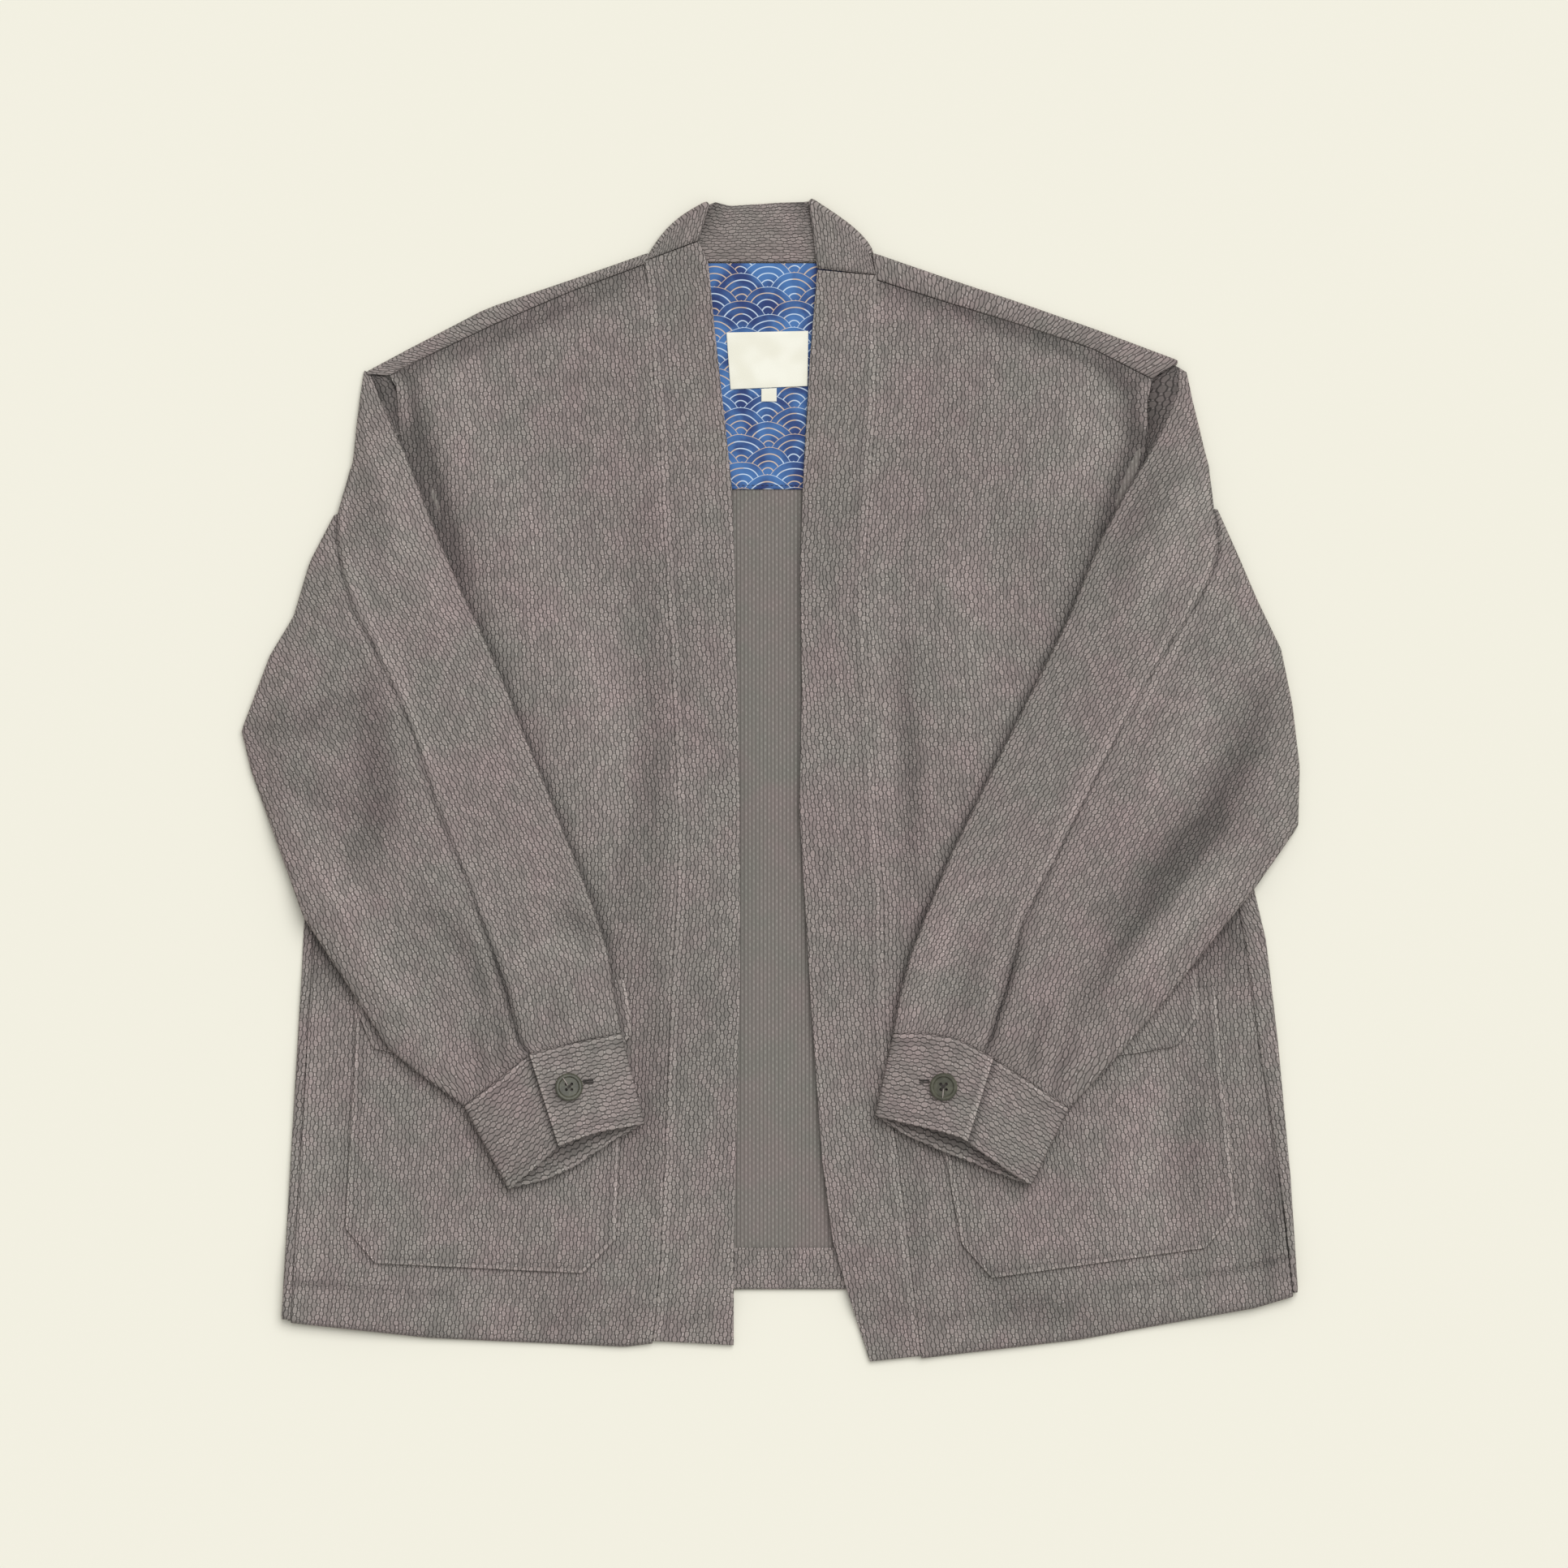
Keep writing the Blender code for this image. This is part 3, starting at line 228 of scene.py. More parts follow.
# Creases placed one by one. Columns: points of the line, half width, height (a trough is negative)
FRONT_FOLDS = [
    ([(-243, 258), (-236, 249), (-234, 236), (-237, 222)], 2.6, 1.5),
    ([(243, 256), (238, 248), (237, 234), (240, 220)], 2.6, 1.5),
    ([(-233, 262), (-227, 230), (-214, 182), (-196, 132)], 8, -2.8),
    ([(-211, 266), (-195, 230), (-177, 188)], 22, 0.8),
    ([(-234, 262), (-182, 281), (-130, 303), (-83, 322)], 6, -2.0),
    ([(-81, 167), (-78, 84), (-75, -20), (-78, -124)], 10, -0.8),
    ([(-161, 167), (-130, 105), (-107, 32), (-94, -46)], 22, 0.9),
    ([(-78, 16), (-91, -51), (-96, -98)], 9, -1),
    ([(-78, -124), (-75, -192), (-78, -254)], 12, -0.8),
    ([(-182, -327), (-179, -361)], 20, 0.6),
    ([(-130, -324), (-135, -362)], 15, -0.5),
    ([(-296, -150), (-301, -254), (-304, -332)], 14, 0.7),
    ([(212, 268), (232, 244), (234, 214), (216, 162)], 9, -2.8),
    ([(213, 266), (205, 219), (187, 178)], 20, 1),
    ([(73, 315), (120, 299), (177, 281), (234, 255)], 6, -2.0),
    ([(84, 84), (88, 32), (91, -20), (88, -67)], 7, -1.6),
    ([(69, 162), (68, 84), (74, -20)], 6, 0.7),
    ([(120, 146), (130, 94), (125, 42)], 18, 0.8),
    ([(151, 167), (177, 157), (203, 167)], 12, -0.5),
    ([(83, -228), (91, -280), (88, -358)], 9, -1),
    ([(127, -311), (156, -332), (198, -345)], 14, -1.2),
    ([(325, -218), (322, -270), (317, -327)], 10, -1.6),
    ([(250, -192), (234, -254), (239, -301)], 18, 1),
    ([(276, -166), (265, -228), (273, -280)], 12, -0.9),
]
SLEEVE_FOLDS_L = [
    ([(-270, 136), (-250, 89), (-231, 42), (-218, 1)], 6, 1),
    ([(-257, 58), (-254, 16), (-250, -25), (-265, -51)], 12, -2),
    ([(-328, 32), (-296, 37), (-265, 48)], 10, -1.2),
    ([(-315, 1), (-286, -12), (-260, -25)], 9, -1),
    ([(-224, -77), (-203, -98), (-187, -124), (-182, -155)], 7, -1.6),
    ([(-177, -114), (-167, -145), (-159, -173)], 4, -2),
    ([(-135, -82), (-122, -93), (-105, -98)], 7, -1.8),
    ([(-161, -119), (-146, -108), (-130, -111)], 8, 1),
    ([(-190, -160), (-185, -189)], 4, -1.4),
    ([(-174, -150), (-171, -184)], 4, -1.4),
    ([(-140, -134), (-135, -165)], 5, -0.9),
    ([(-307, -20), (-270, -88), (-234, -145), (-203, -192)], 12, 1.2),
    ([(-250, 209), (-234, 157), (-211, 105)], 12, 1),
    ([(-260, 188), (-250, 146)], 8, -1),
]
SLEEVE_FOLDS_R = [
    ([(281, 136), (255, 84), (224, 32), (198, -15), (174, -62)], 6, 1.3),
    ([(317, 58), (302, 16), (281, -25), (244, -62), (218, -88)], 13, -2.6),
    ([(276, 58), (260, 16), (239, -20)], 12, 1.2),
    ([(286, -25), (250, -72), (218, -114), (198, -150)], 8, -2),
    ([(302, -51), (265, -88), (229, -134)], 9, 1.3),
    ([(177, -145), (166, -184)], 4, -1.4),
    ([(192, -160), (182, -199)], 4, -1.4),
    ([(156, -108), (148, -140), (141, -172)], 3.5, -2.2),
    ([(130, -108), (125, -140), (112, -160)], 7, -1),
    ([(120, -67), (104, -114), (91, -155)], 10, 1),
    ([(255, 209), (234, 167), (218, 126)], 10, -1),
    ([(273, 188), (255, 146), (234, 105)], 12, 1),
]


class JacketSettings(bpy.types.PropertyGroup):
    """Sizes and colours of the jacket's looks"""
    grain_pitch: bpy.props.FloatProperty(
        name="Grain pitch", description="Distance between columns of rice grains",
        default=0.00245, min=0.0005, max=0.01, unit="LENGTH")
    grain_repeat: bpy.props.FloatProperty(
        name="Grain repeat", description="Distance between grains along a column",
        default=0.0057, min=0.001, max=0.02, unit="LENGTH")
    groove: bpy.props.FloatVectorProperty(
        name="Groove", description="Cotton between the grains",
        size=3, default=(0.068, 0.058, 0.054), min=0, max=1, subtype="COLOR")
    grain: bpy.props.FloatVectorProperty(
        name="Grain", description="Cotton on the grains",
        size=3, default=(0.276, 0.240, 0.228), min=0, max=1, subtype="COLOR")
    fleck: bpy.props.FloatVectorProperty(
        name="Fleck", description="Pale thread between the grains",
        size=3, default=(0.44, 0.40, 0.385), min=0, max=1, subtype="COLOR")
    print_dark: bpy.props.FloatVectorProperty(
        name="Print, dark", description="Deep blue of the printed facing",
        size=3, default=(0.012, 0.035, 0.16), min=0, max=1, subtype="COLOR")
    print_light: bpy.props.FloatVectorProperty(
        name="Print, light", description="Sky blue of the printed facing",
        size=3, default=(0.06, 0.18, 0.45), min=0, max=1, subtype="COLOR")
    button: bpy.props.FloatVectorProperty(
        name="Button", description="Olive grey of the buttons",
        size=3, default=(0.075, 0.075, 0.052), min=0, max=1, subtype="COLOR")
    crease_depth: bpy.props.FloatProperty(
        name="Crease depth", description="Share of the creases' full depth",
        default=1.0, min=0.0, max=1.5, subtype="FACTOR")
    light_strength: bpy.props.FloatProperty(
        name="Light", description="Strength of the soft sun lamp",
        default=1.84, min=0.0, max=10.0, subtype="UNSIGNED")


def opts():
    return bpy.context.scene.jacket_settings


def metres(p):
    """Millimetres of the tables to metres of the frame."""
    p = np.asarray(p, float)
    return np.stack([(p[..., 0] + CENTRE[0]), (p[..., 1] + CENTRE[1]), p[..., 2]], axis=-1) * 0.001


def ease(t):
    t = np.clip(t, 0.0, 1.0)
    return t * t * (3 - 2 * t)


def bell(far, wide):
    """1 on a line, falling off softly with the distance from it."""
    return np.exp(-(far / wide) ** 2)


def raised(p, z):
    """Flat points with their heights."""
    return np.concatenate([p, z[..., None]], axis=-1)


def along(table, y):
    """x of an edge at heights y."""
    r = sorted((p[1], p[0]) for p in table)
    return np.interp(y, [a for a, _ in r], [b for _, b in r])


def across(table, x):
    """y of an edge at places x."""
    r = sorted((p[0], p[1]) for p in table)
    return np.interp(x, [a for a, _ in r], [b for _, b in r])


def place(table, shares):
    """Points along an edge at shares of its length."""
    p = np.array(table, float)
    d = np.concatenate([[0.0], np.cumsum(np.linalg.norm(np.diff(p, axis=0), axis=1))])
    t = np.asarray(shares) * d[-1]
    return np.stack([np.interp(t, d, p[:, 0]), np.interp(t, d, p[:, 1])], axis=1)


def shares(n, rim=0.004):
    """n even steps from 0 to 1, with one more close to each end for a rounded rim."""
    t = np.linspace(0.0, 1.0, n)
    return np.concatenate([[0.0, rim], t[1:-1], [1 - rim, 1.0]])


def patch(low, high, left, right, su, sv):
    """A flat grid of points between four edges that meet at the corners."""
    a, b, c, d = place(low, su), place(high, su), place(left, sv), place(right, sv)
    u, v = np.asarray(su)[None, :, None], np.asarray(sv)[:, None, None]
    p = (1 - v) * a[None] + v * b[None] + (1 - u) * c[:, None] + u * d[:, None]
    return p - ((1 - u) * (1 - v) * a[0] + u * (1 - v) * a[-1] + (1 - u) * v * b[0] + u * v * b[-1])


def creases(table, x, y):
    """Sum of soft troughs and ridges that fade at both ends of their lines."""
    z = np.zeros_like(x)
    for line, wide, high in table:
        p = np.array(line, float)
        seg = np.linalg.norm(np.diff(p, axis=0), axis=1)
        start = np.concatenate([[0.0], np.cumsum(seg)])
        best, where = np.full(x.shape, 1e9), np.zeros_like(x)
        for k in range(len(p) - 1):
            d = p[k + 1] - p[k]
            t = np.clip(((x - p[k][0]) * d[0] + (y - p[k][1]) * d[1]) / (d @ d), 0, 1)
            far = np.hypot(x - p[k][0] - t * d[0], y - p[k][1] - t * d[1])
            near = far < best
            best, where = np.where(near, far, best), np.where(near, start[k] + t * seg[k], where)
        s = where / start[-1]
        fade = 0.25 + 0.75 * np.sin(math.pi * np.clip(0.08 + 0.84 * s, 0, 1))
        z = z + high * bell(best, wide) * fade
    return z


def waves(x, y, size, high, turn=0.0):
    """Low irregular swells, so that no panel is dead flat."""
    a = x * math.cos(turn) + y * math.sin(turn)
    b = -x * math.sin(turn) + y * math.cos(turn)
    one = np.sin(a / size + 1.3 * np.sin(b / (1.7 * size)))
    two = np.sin(b / (1.3 * size) + 0.8 * np.sin(a / (2.1 * size)))
    return high * (one * two)


def droop(x, y):
    """How far the fronts hang down below the back's hem."""
    return 3.0 * ease((across(BACK_HEM, x) - 8.0 - y) / 18.0)


def hem_rise(x, y):
    """From 0 to 1 where a front begins to lie on the turned hems."""
    return ease((across(BACK_HEM, x) + TURN_UP + 38.0 - y) / 34.0)


def sleeve_inner(x, y):
    """x of the inner edge of the sleeve on the side of x, at heights y."""
    left, right = (along([(r[0], r[1]) for r in t], y) for t in (SLEEVE_L, SLEEVE_R))
    return np.where(x < 0, left, right)


def front_z(x, y, creased=True):
    """Height of the middle of a front's outer layer, with its creases."""
    x, y = np.asarray(x, float), np.asarray(y, float)
    seam = np.where(x < 0, along(SEAM_L, y), along(SEAM_R, y))
    z = FRONT_MID + 1.5 * bell(x - seam, 20.0)
    z = np.maximum(z, FRONT_MID + (2 * STEP - 0.2) * hem_rise(x, y))
    clear = ease((np.abs(sleeve_inner(x, y)) - np.abs(x) - np.where(y < 240, 4.0, 14.0)) / 26.0)
    rise = sum(h * np.exp(-((x - a) / w) ** 2 - ((y - b) / d) ** 2) for a, b, w, d, h in FORMS)
    low = ease((y + 112.0) / 40.0)
    z = z + rise * clear * low - droop(x, y)
    if not creased:
        return z
    soft = creases(FRONT_FOLDS, x, y) + waves(x, y, 34.0, 0.35) - 1.3 * beside_sleeve(x, y)
    soft = soft * opts().crease_depth + 0.8 * bell(x - seam, 8.0)
    return z + np.where(soft < -1.2, -1.2 + 0.5 * (soft + 1.2), soft)


def beside_sleeve(x, y):
    """From 0 to 1 in the hollow where a front runs under its sleeve."""
    wide = 5.0 + 4.5 * ease((y - 60.0) / 90.0)
    away = np.clip(np.abs(sleeve_inner(x, y)) - np.abs(x), 0, None)
    return bell(away, wide) * ease((y + 150.0) / 60.0)


def front_painted_shade(x, y):
    """Painted shade and highlight of a front, from how deep in a fold or how high on a ridge it lies:
    darker in creases and in the hollow beside its sleeve, paler on ridges.
    """
    return creases(FRONT_FOLDS, x, y) / 2.4 - 0.75 * beside_sleeve(x, y)


def band_z(x, y):
    """Height of the middle of a front band."""
    x, y = np.asarray(x, float), np.asarray(y, float)
    z = BAND_MID + 0.55 * hem_rise(x, y) - droop(x, y)
    return z + waves(x * 2.0, y, 46.0, 0.25) + 0.15


def outside(x, y):
    """How far points lie outside the body's side or armhole."""
    left = np.where(y < ARM_FOOT, along(SIDE_L, y), along(ARM_L, y))
    right = np.where(y < ARM_FOOT, along(SIDE_R, y), along(ARM_R, y))
    return np.abs(x) - np.abs(np.where(x < 0, left, right))


def floor_z(x, y):
    """Height that a sleeve rests on: the front with its pocket and flap, or the surface beside it."""
    on = front_z(x, y, False) + CLOTH / 2 + 0.7
    stack = on + (2 * STEP + 0.15) * ease((-55.0 - y) / 30.0)
    return stack + (0.6 - stack) * ease((outside(x, y) - 17.0) / 14.0)


class Panel:
    """Cloth in the making: a grid moved to its form, laps pulled out of its edges, then a wall."""

    def __init__(self, form, grain, fold=None, tube=False):
        nv, nu = form.shape[:2]
        self.bm = bmesh.new()
        self.uv = self.bm.loops.layers.uv.new("grain")
        self.tag = self.bm.verts.layers.int.new("tag")
        # The fold attribute holds painted shade and highlight: below 0 the material darkens the cloth,
        # above 0 it pales it.
        self.fold = self.bm.verts.layers.float.new("fold")
        fold = np.zeros((nv, nu)) if fold is None else np.clip(fold, -1, 1)
        bmesh.ops.create_grid(self.bm, x_segments=nu - 1, y_segments=nv - 1, size=1.0)
        self.at, self.grain = {}, {}
        place_ = metres(form)
        for v in self.bm.verts:
            i, j = round((v.co.x + 1) / 2 * (nu - 1)), round((v.co.y + 1) / 2 * (nv - 1))
            self.at[j, i] = v
            v[self.tag] = j * nu + i
            self.grain[v] = tuple(grain[j, i] * 0.001)
            v[self.fold] = float(fold[j, i])
            v.co = place_[j, i]
        self.next = nu * nv
        self.paint(self.bm.faces)
        self.first = len(self.bm.faces)
        if tube:
            bmesh.ops.remove_doubles(self.bm, verts=self.bm.verts[:], dist=0.000005)

    def paint(self, faces):
        for f in faces:
            for loop in f.loops:
                loop[self.uv].uv = self.grain[loop.vert]

    def lap(self, line, rows, grains, folds=None):
        """Pulls a strip out of an edge of the panel, row by row."""
        for k, (row, grain) in enumerate(zip(rows, grains)):
            edges = [self.bm.edges.get((a, b)) for a, b in zip(line, line[1:])]
            new = bmesh.ops.extrude_edge_only(self.bm, edges=edges)["geom"]
            made = {v[self.tag]: v for v in new if isinstance(v, bmesh.types.BMVert)}
            line = [made[v[self.tag]] for v in line]
            for v, p, g in zip(line, metres(row), np.asarray(grain) * 0.001):
                v.co = p
                v[self.tag] = self.next
                self.next += 1
                self.grain[v] = tuple(g)
                v[self.fold] = folds[k] if folds else 0.0
            self.paint([f for f in new if isinstance(f, bmesh.types.BMFace)])
        return line

    def wall(self, name, up, down, mat, rim=0.55, tube=False, ends=None, inner=None):
        """Gives the cloth its thickness, thinner at free edges and listed ends, and makes the object."""
        bm = self.bm
        bmesh.ops.recalc_face_normals(bm, faces=bm.faces[:])
        bm.faces.ensure_lookup_table()
        if tube:
            side = sum(f.calc_center_median().dot(f.normal) * f.calc_area() for f in bm.faces)
        else:
            side = sum(f.normal.z * f.calc_area() for f in list(bm.faces)[: self.first])
        if side < 0:
            bmesh.ops.reverse_faces(bm, faces=bm.faces[:])
        bm.normal_update()
        data = {}
        for k, v in enumerate(bm.verts):
            t = (rim if v.is_boundary else 1.0) * (ends.get(v[self.tag], 1.0) if ends else 1.0)
            data[k] = (v.co.copy(), v.normal.copy(), t)
            v[self.tag] = k
        if inner:
            for f in list(bm.faces)[: self.first]:
                f.material_index = 1
        old = set(bm.verts)
        bmesh.ops.extrude_face_region(bm, geom=bm.faces[:], use_keep_orig=True)
        for v in bm.verts:
            p, n, t = data[v[self.tag]]
            v.co = p + n * (up if v in old else -down) * t * 0.001
        bmesh.ops.recalc_face_normals(bm, faces=bm.faces[:])
        for f in bm.faces:
            f.smooth = True
        obj = finished(name, bm, mat)
        if inner:
            obj.data.materials.append(inner)
        return obj


def added(name, data):
    obj = bpy.data.objects.new(name, data)
    bpy.context.scene.collection.objects.link(obj)
    return obj


def finished(name, bm, mat):
    """The shape as an object in the scene, with its material, on the one rigid body."""
    mesh = bpy.data.meshes.new(name)
    bm.to_mesh(mesh)
    bm.free()
    obj = added(name, mesh)
    mesh.materials.append(mat)
    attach(obj, "root")
    return obj


def cotton(obj, node):
    """Hides the frame's solid that a finished cloth stands for."""
    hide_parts(node)
    return obj


class Graph:
    """Short hands for a material's nodes."""

    def __init__(self, name, rough=0.9):
        self.mat = bpy.data.materials.new(name)
        self.mat.use_nodes = True
        self.t = self.mat.node_tree
        self.out = self.t.nodes["Principled BSDF"]
        self.out.inputs["Roughness"].default_value = rough

    def put(self, socket, value):
        if hasattr(value, "links"):
            self.t.links.new(value, socket)
        else:
            socket.default_value = value

    def math(self, op, a, b=0.0, c=0.0, clamp=False):
        n = self.t.nodes.new("ShaderNodeMath")
        n.operation, n.use_clamp = op, clamp
        for s, v in zip(n.inputs, (a, b, c)):
            self.put(s, v)
        return n.outputs[0]

    def mul(self, a, b):
        return self.math("MULTIPLY", a, b)

    def add(self, a, b):
        return self.math("ADD", a, b)

    def sub(self, a, b):
        return self.math("SUBTRACT", a, b)

    def div(self, a, b):
        return self.math("DIVIDE", a, b)

    def abs(self, a):
        return self.math("ABSOLUTE", a)

    def fract(self, a):
        return self.math("FRACT", a)

    def fma(self, a, b, c):
        return self.math("MULTIPLY_ADD", a, b, c)

    def position(self):
        return self.node("ShaderNodeTexCoord", 3)

    def cloth_uv(self):
        return self.node("ShaderNodeUVMap", 0, uv_map="grain")

    def noise(self, vector, scale, detail, **values):
        return self.node("ShaderNodeTexNoise", 0, Vector=vector, Scale=scale, Detail=detail, **values)

    def node(self, kind, out=0, **values):
        n = self.t.nodes.new(kind)
        for k, v in values.items():
            if k in n.inputs.keys():
                self.put(n.inputs[k], v)
            else:
                setattr(n, k, v)
        return n.outputs[out]

    def step(self, x, low, high, a=0.0, b=1.0):
        n = self.t.nodes.new("ShaderNodeMapRange")
        n.interpolation_type = "SMOOTHSTEP"
        for s, v in zip(n.inputs, (x, low, high, a, b)):
            self.put(s, v)
        return n.outputs[0]

    def mix(self, f, a, b, kind="MIX"):
        n = self.t.nodes.new("ShaderNodeMix")
        n.data_type, n.blend_type = "RGBA", kind
        self.put(n.inputs[0], f)
        self.put(n.inputs[6], a)
        self.put(n.inputs[7], b)
        return n.outputs[2]

    def bump(self, height, depth, strength=1.0):
        n = self.t.nodes.new("ShaderNodeBump")
        n.inputs["Strength"].default_value = strength
        n.inputs["Distance"].default_value = depth
        self.put(n.inputs["Height"], height)
        self.t.links.new(n.outputs[0], self.out.inputs["Normal"])

    def colour(self, c):
        self.put(self.out.inputs["Base Color"], c)


def rgb(r, g, b):
    """Display colour from 0 to 255 as the linear value that a shader takes."""
    f = lambda c: (c / 255 / 12.92) if c / 255 <= 0.04045 else ((c / 255 + 0.055) / 1.055) ** 2.4
    return (f(r), f(g), f(b), 1.0)


def mottle(g, base):
    """Slow changes of dye over a cloth, a little redder here and greener there."""
    pos = g.position()
    slow = g.noise(pos, 14.0, 3.0)
    patch_ = g.noise(pos, 42.0, 2.0, Roughness=0.6)
    warm = g.mix(g.step(slow, 0.38, 0.64), (0.975, 1.0, 0.985, 1), (1.03, 0.99, 1.0, 1))
    c = g.mix(1.0, base, warm, "MULTIPLY")
    tint = g.mix(g.step(patch_, 0.36, 0.68), (0.955, 0.985, 0.965, 1), (1.04, 1.01, 1.02, 1))
    return g.mix(1.0, c, tint, "MULTIPLY")


def painted_shade_and_highlight(g, c, much=0.5):
    """Painted shade and highlight: the cloth a little darker in its folds and paler along its sewn and
    folded edges, after the fold attribute.
    """
    fold = g.t.nodes.new("ShaderNodeAttribute")
    fold.attribute_name = "fold"
    soft = g.fma(fold.outputs["Fac"], much, 1.0)
    return g.mix(1.0, c, soft, "MULTIPLY")


def rice_grain(name):
    """Raised oval grains in columns along V between wavy dark grooves, a pale thread at each waist."""
    g = Graph(name, 0.88)
    o = opts()
    uv = g.cloth_uv()
    wob = g.node("ShaderNodeTexNoise", 1, Vector=uv, Scale=60.0, Detail=1.0)
    fine = g.node("ShaderNodeTexNoise", 1, Vector=uv, Scale=330.0, Detail=0.0)
    sep = [g.t.nodes.new("ShaderNodeSeparateXYZ") for _ in range(3)]
    for s, v in zip(sep, (uv, wob, fine)):
        g.t.links.new(v, s.inputs[0])
    u = g.fma(sep[1].outputs[0], 0.0034, sep[0].outputs[0])
    u = g.fma(sep[2].outputs[0], 0.0007, u)
    v = g.fma(sep[1].outputs[1], 0.0030, sep[0].outputs[1])
    v = g.fma(sep[2].outputs[1], 0.0022, v)
    u = g.div(u, o.grain_pitch)
    col = g.math("FLOOR", u)
    across_ = g.abs(g.sub(g.fract(u), 0.5))
    half = g.mul(g.math("MODULO", g.abs(col), 2.0), 0.5)
    v = g.add(g.div(v, o.grain_repeat), half)
    wave = g.math("COSINE", g.mul(v, 2 * math.pi))
    cell = g.t.nodes.new("ShaderNodeCombineXYZ")
    g.put(cell.inputs[0], col)
    g.put(cell.inputs[1], g.math("ROUND", v))
    rnd = g.node("ShaderNodeTexWhiteNoise", 0, Vector=cell.outputs[0], noise_dimensions="2D")
    edge = g.fma(wave, 0.165, 0.5)
    gap = g.abs(g.sub(across_, edge))
    raised = g.step(gap, 0.04, 0.2)
    waist = g.step(g.abs(g.add(wave, 0.5)), 0.34, 0.0)
    waist = g.mul(waist, g.step(rnd, 0.05, 0.8, 0.35, 1.0))
    dot = g.mul(g.step(wave, -0.74, -0.96), g.step(across_, 0.25, 0.08))
    dot = g.mul(dot, g.step(rnd, 0.1, 0.8, 0.25, 1.0))
    hollow = g.mul(g.step(across_, 0.16, 0.0), g.step(wave, 0.45, 1.0))
    fibre = g.noise(uv, 2600.0, 1.0)
    dark, light, pale = (*o.groove, 1.0), (*o.grain, 1.0), (*o.fleck, 1.0)
    c = g.mix(raised, dark, light)
    c = g.mix(g.mul(waist, 0.9), c, dark)
    c = g.mix(g.mul(hollow, 0.16), c, dark)
    c = g.mix(dot, c, pale)
    c = g.mix(1.0, c, g.mix(rnd, (0.8, 0.8, 0.8, 1), (1.2, 1.19, 1.19, 1)), "MULTIPLY")
    c = g.mix(g.step(fibre, 0.3, 0.75, 0.0, 0.16), c, pale)
    # Dye mottle, then painted shade and highlight from the fold attribute.
    g.colour(painted_shade_and_highlight(g, mottle(g, c)))
    high = g.add(raised, g.mul(g.sub(dot, waist), 0.3))
    g.bump(g.add(high, g.mul(fibre, 0.12)), 0.00045, 0.85)
    return g.mat


def plain_inside(name):
    """The smooth inner face: fine ribs along V with rows of small pale floats."""
    g = Graph(name, 0.9)
    uv = g.cloth_uv()
    sep = g.t.nodes.new("ShaderNodeSeparateXYZ")
    g.t.links.new(uv, sep.inputs[0])
    rib_pitch, float_pitch = 0.00245, 0.0043
    u = g.div(sep.outputs[0], rib_pitch)
    v = g.div(sep.outputs[1], float_pitch)
    rib = g.abs(g.sub(g.fract(u), 0.5))
    half = g.mul(g.math("MODULO", g.abs(g.math("FLOOR", u)), 2.0), 0.5)
    row = g.abs(g.sub(g.fract(g.add(v, half)), 0.5))
    rnd = g.noise(uv, 420.0, 1.0)
    spot = g.mul(g.step(rib, 0.34, 0.1), g.step(row, 0.4, 0.12))
    spot = g.mul(spot, g.step(rnd, 0.35, 0.65, 0.25, 1.0))
    fibre = g.noise(uv, 1800.0, 2.0)
    c = g.mix(g.step(rib, 0.5, 0.3), rgb(96, 90, 86), rgb(128, 122, 118))
    c = g.mix(g.mul(spot, 0.6), c, rgb(164, 158, 153))
    c = g.mix(g.step(fibre, 0.3, 0.8, 0.0, 0.3), c, rgb(112, 106, 102))
    # Dye mottle, then painted shade and highlight from the fold attribute.
    g.colour(painted_shade_and_highlight(g, mottle(g, c)))
    g.bump(g.add(spot, fibre), 0.00018, 0.7)
    return g.mat


def wave_print(name):
    """Indigo cotton printed with rows of pale arcs, a traditional wave pattern, over mottled blue."""
    g = Graph(name, 0.72)
    pos = g.position()
    uv = g.cloth_uv()
    wob = g.node("ShaderNodeTexNoise", 1, Vector=uv, Scale=40.0, Detail=1.0)
    sep, off = g.t.nodes.new("ShaderNodeSeparateXYZ"), g.t.nodes.new("ShaderNodeSeparateXYZ")
    g.t.links.new(uv, sep.inputs[0])
    g.t.links.new(wob, off.inputs[0])
    x = g.fma(off.outputs[0], 0.004, sep.outputs[0])
    y = g.fma(off.outputs[1], 0.004, sep.outputs[1])
    arc_wide, arc_step, radius, ring_pitch = 0.034, 0.0086, 0.0172, 0.0043
    u, v = g.div(x, arc_wide), g.div(y, arc_step)
    found, ring = None, None
    for up in (1, 0):
        level = g.sub(g.math("FLOOR", v), float(up))
        half = g.mul(g.math("MODULO", g.abs(level), 2.0), 0.5)
        du = g.sub(g.fract(g.add(u, half)), 0.5)
        dx = g.mul(du, arc_wide)
        dy = g.mul(g.sub(v, level), arc_step)
        d = g.math("SQRT", g.add(g.mul(dx, dx), g.mul(dy, dy)))
        inside = g.math("LESS_THAN", d, radius)
        if found is None:
            found, ring = inside, d
        else:
            kept = g.mul(ring, found)
            ring = g.add(kept, g.mul(d, g.sub(1.0, found)))
            found = g.math("MAXIMUM", found, inside)
    lines = g.abs(g.sub(g.fract(g.div(ring, ring_pitch)), 0.5))
    line = g.step(lines, 0.38, 0.46)
    cloud = g.noise(pos, 48.0, 3.0)
    c = g.mix(g.step(cloud, 0.36, 0.66), (*opts().print_dark, 1.0), (*opts().print_light, 1.0))
    hue = g.noise(pos, 60.0, 1.0)
    pale = g.mix(g.step(hue, 0.47, 0.53), rgb(214, 232, 248), rgb(226, 200, 168))
    g.colour(g.mix(g.mul(line, 0.85), c, pale))
    thread = g.noise(uv, 2200.0, 1.0)
    g.bump(thread, 0.0001, 0.4)
    return g.mat


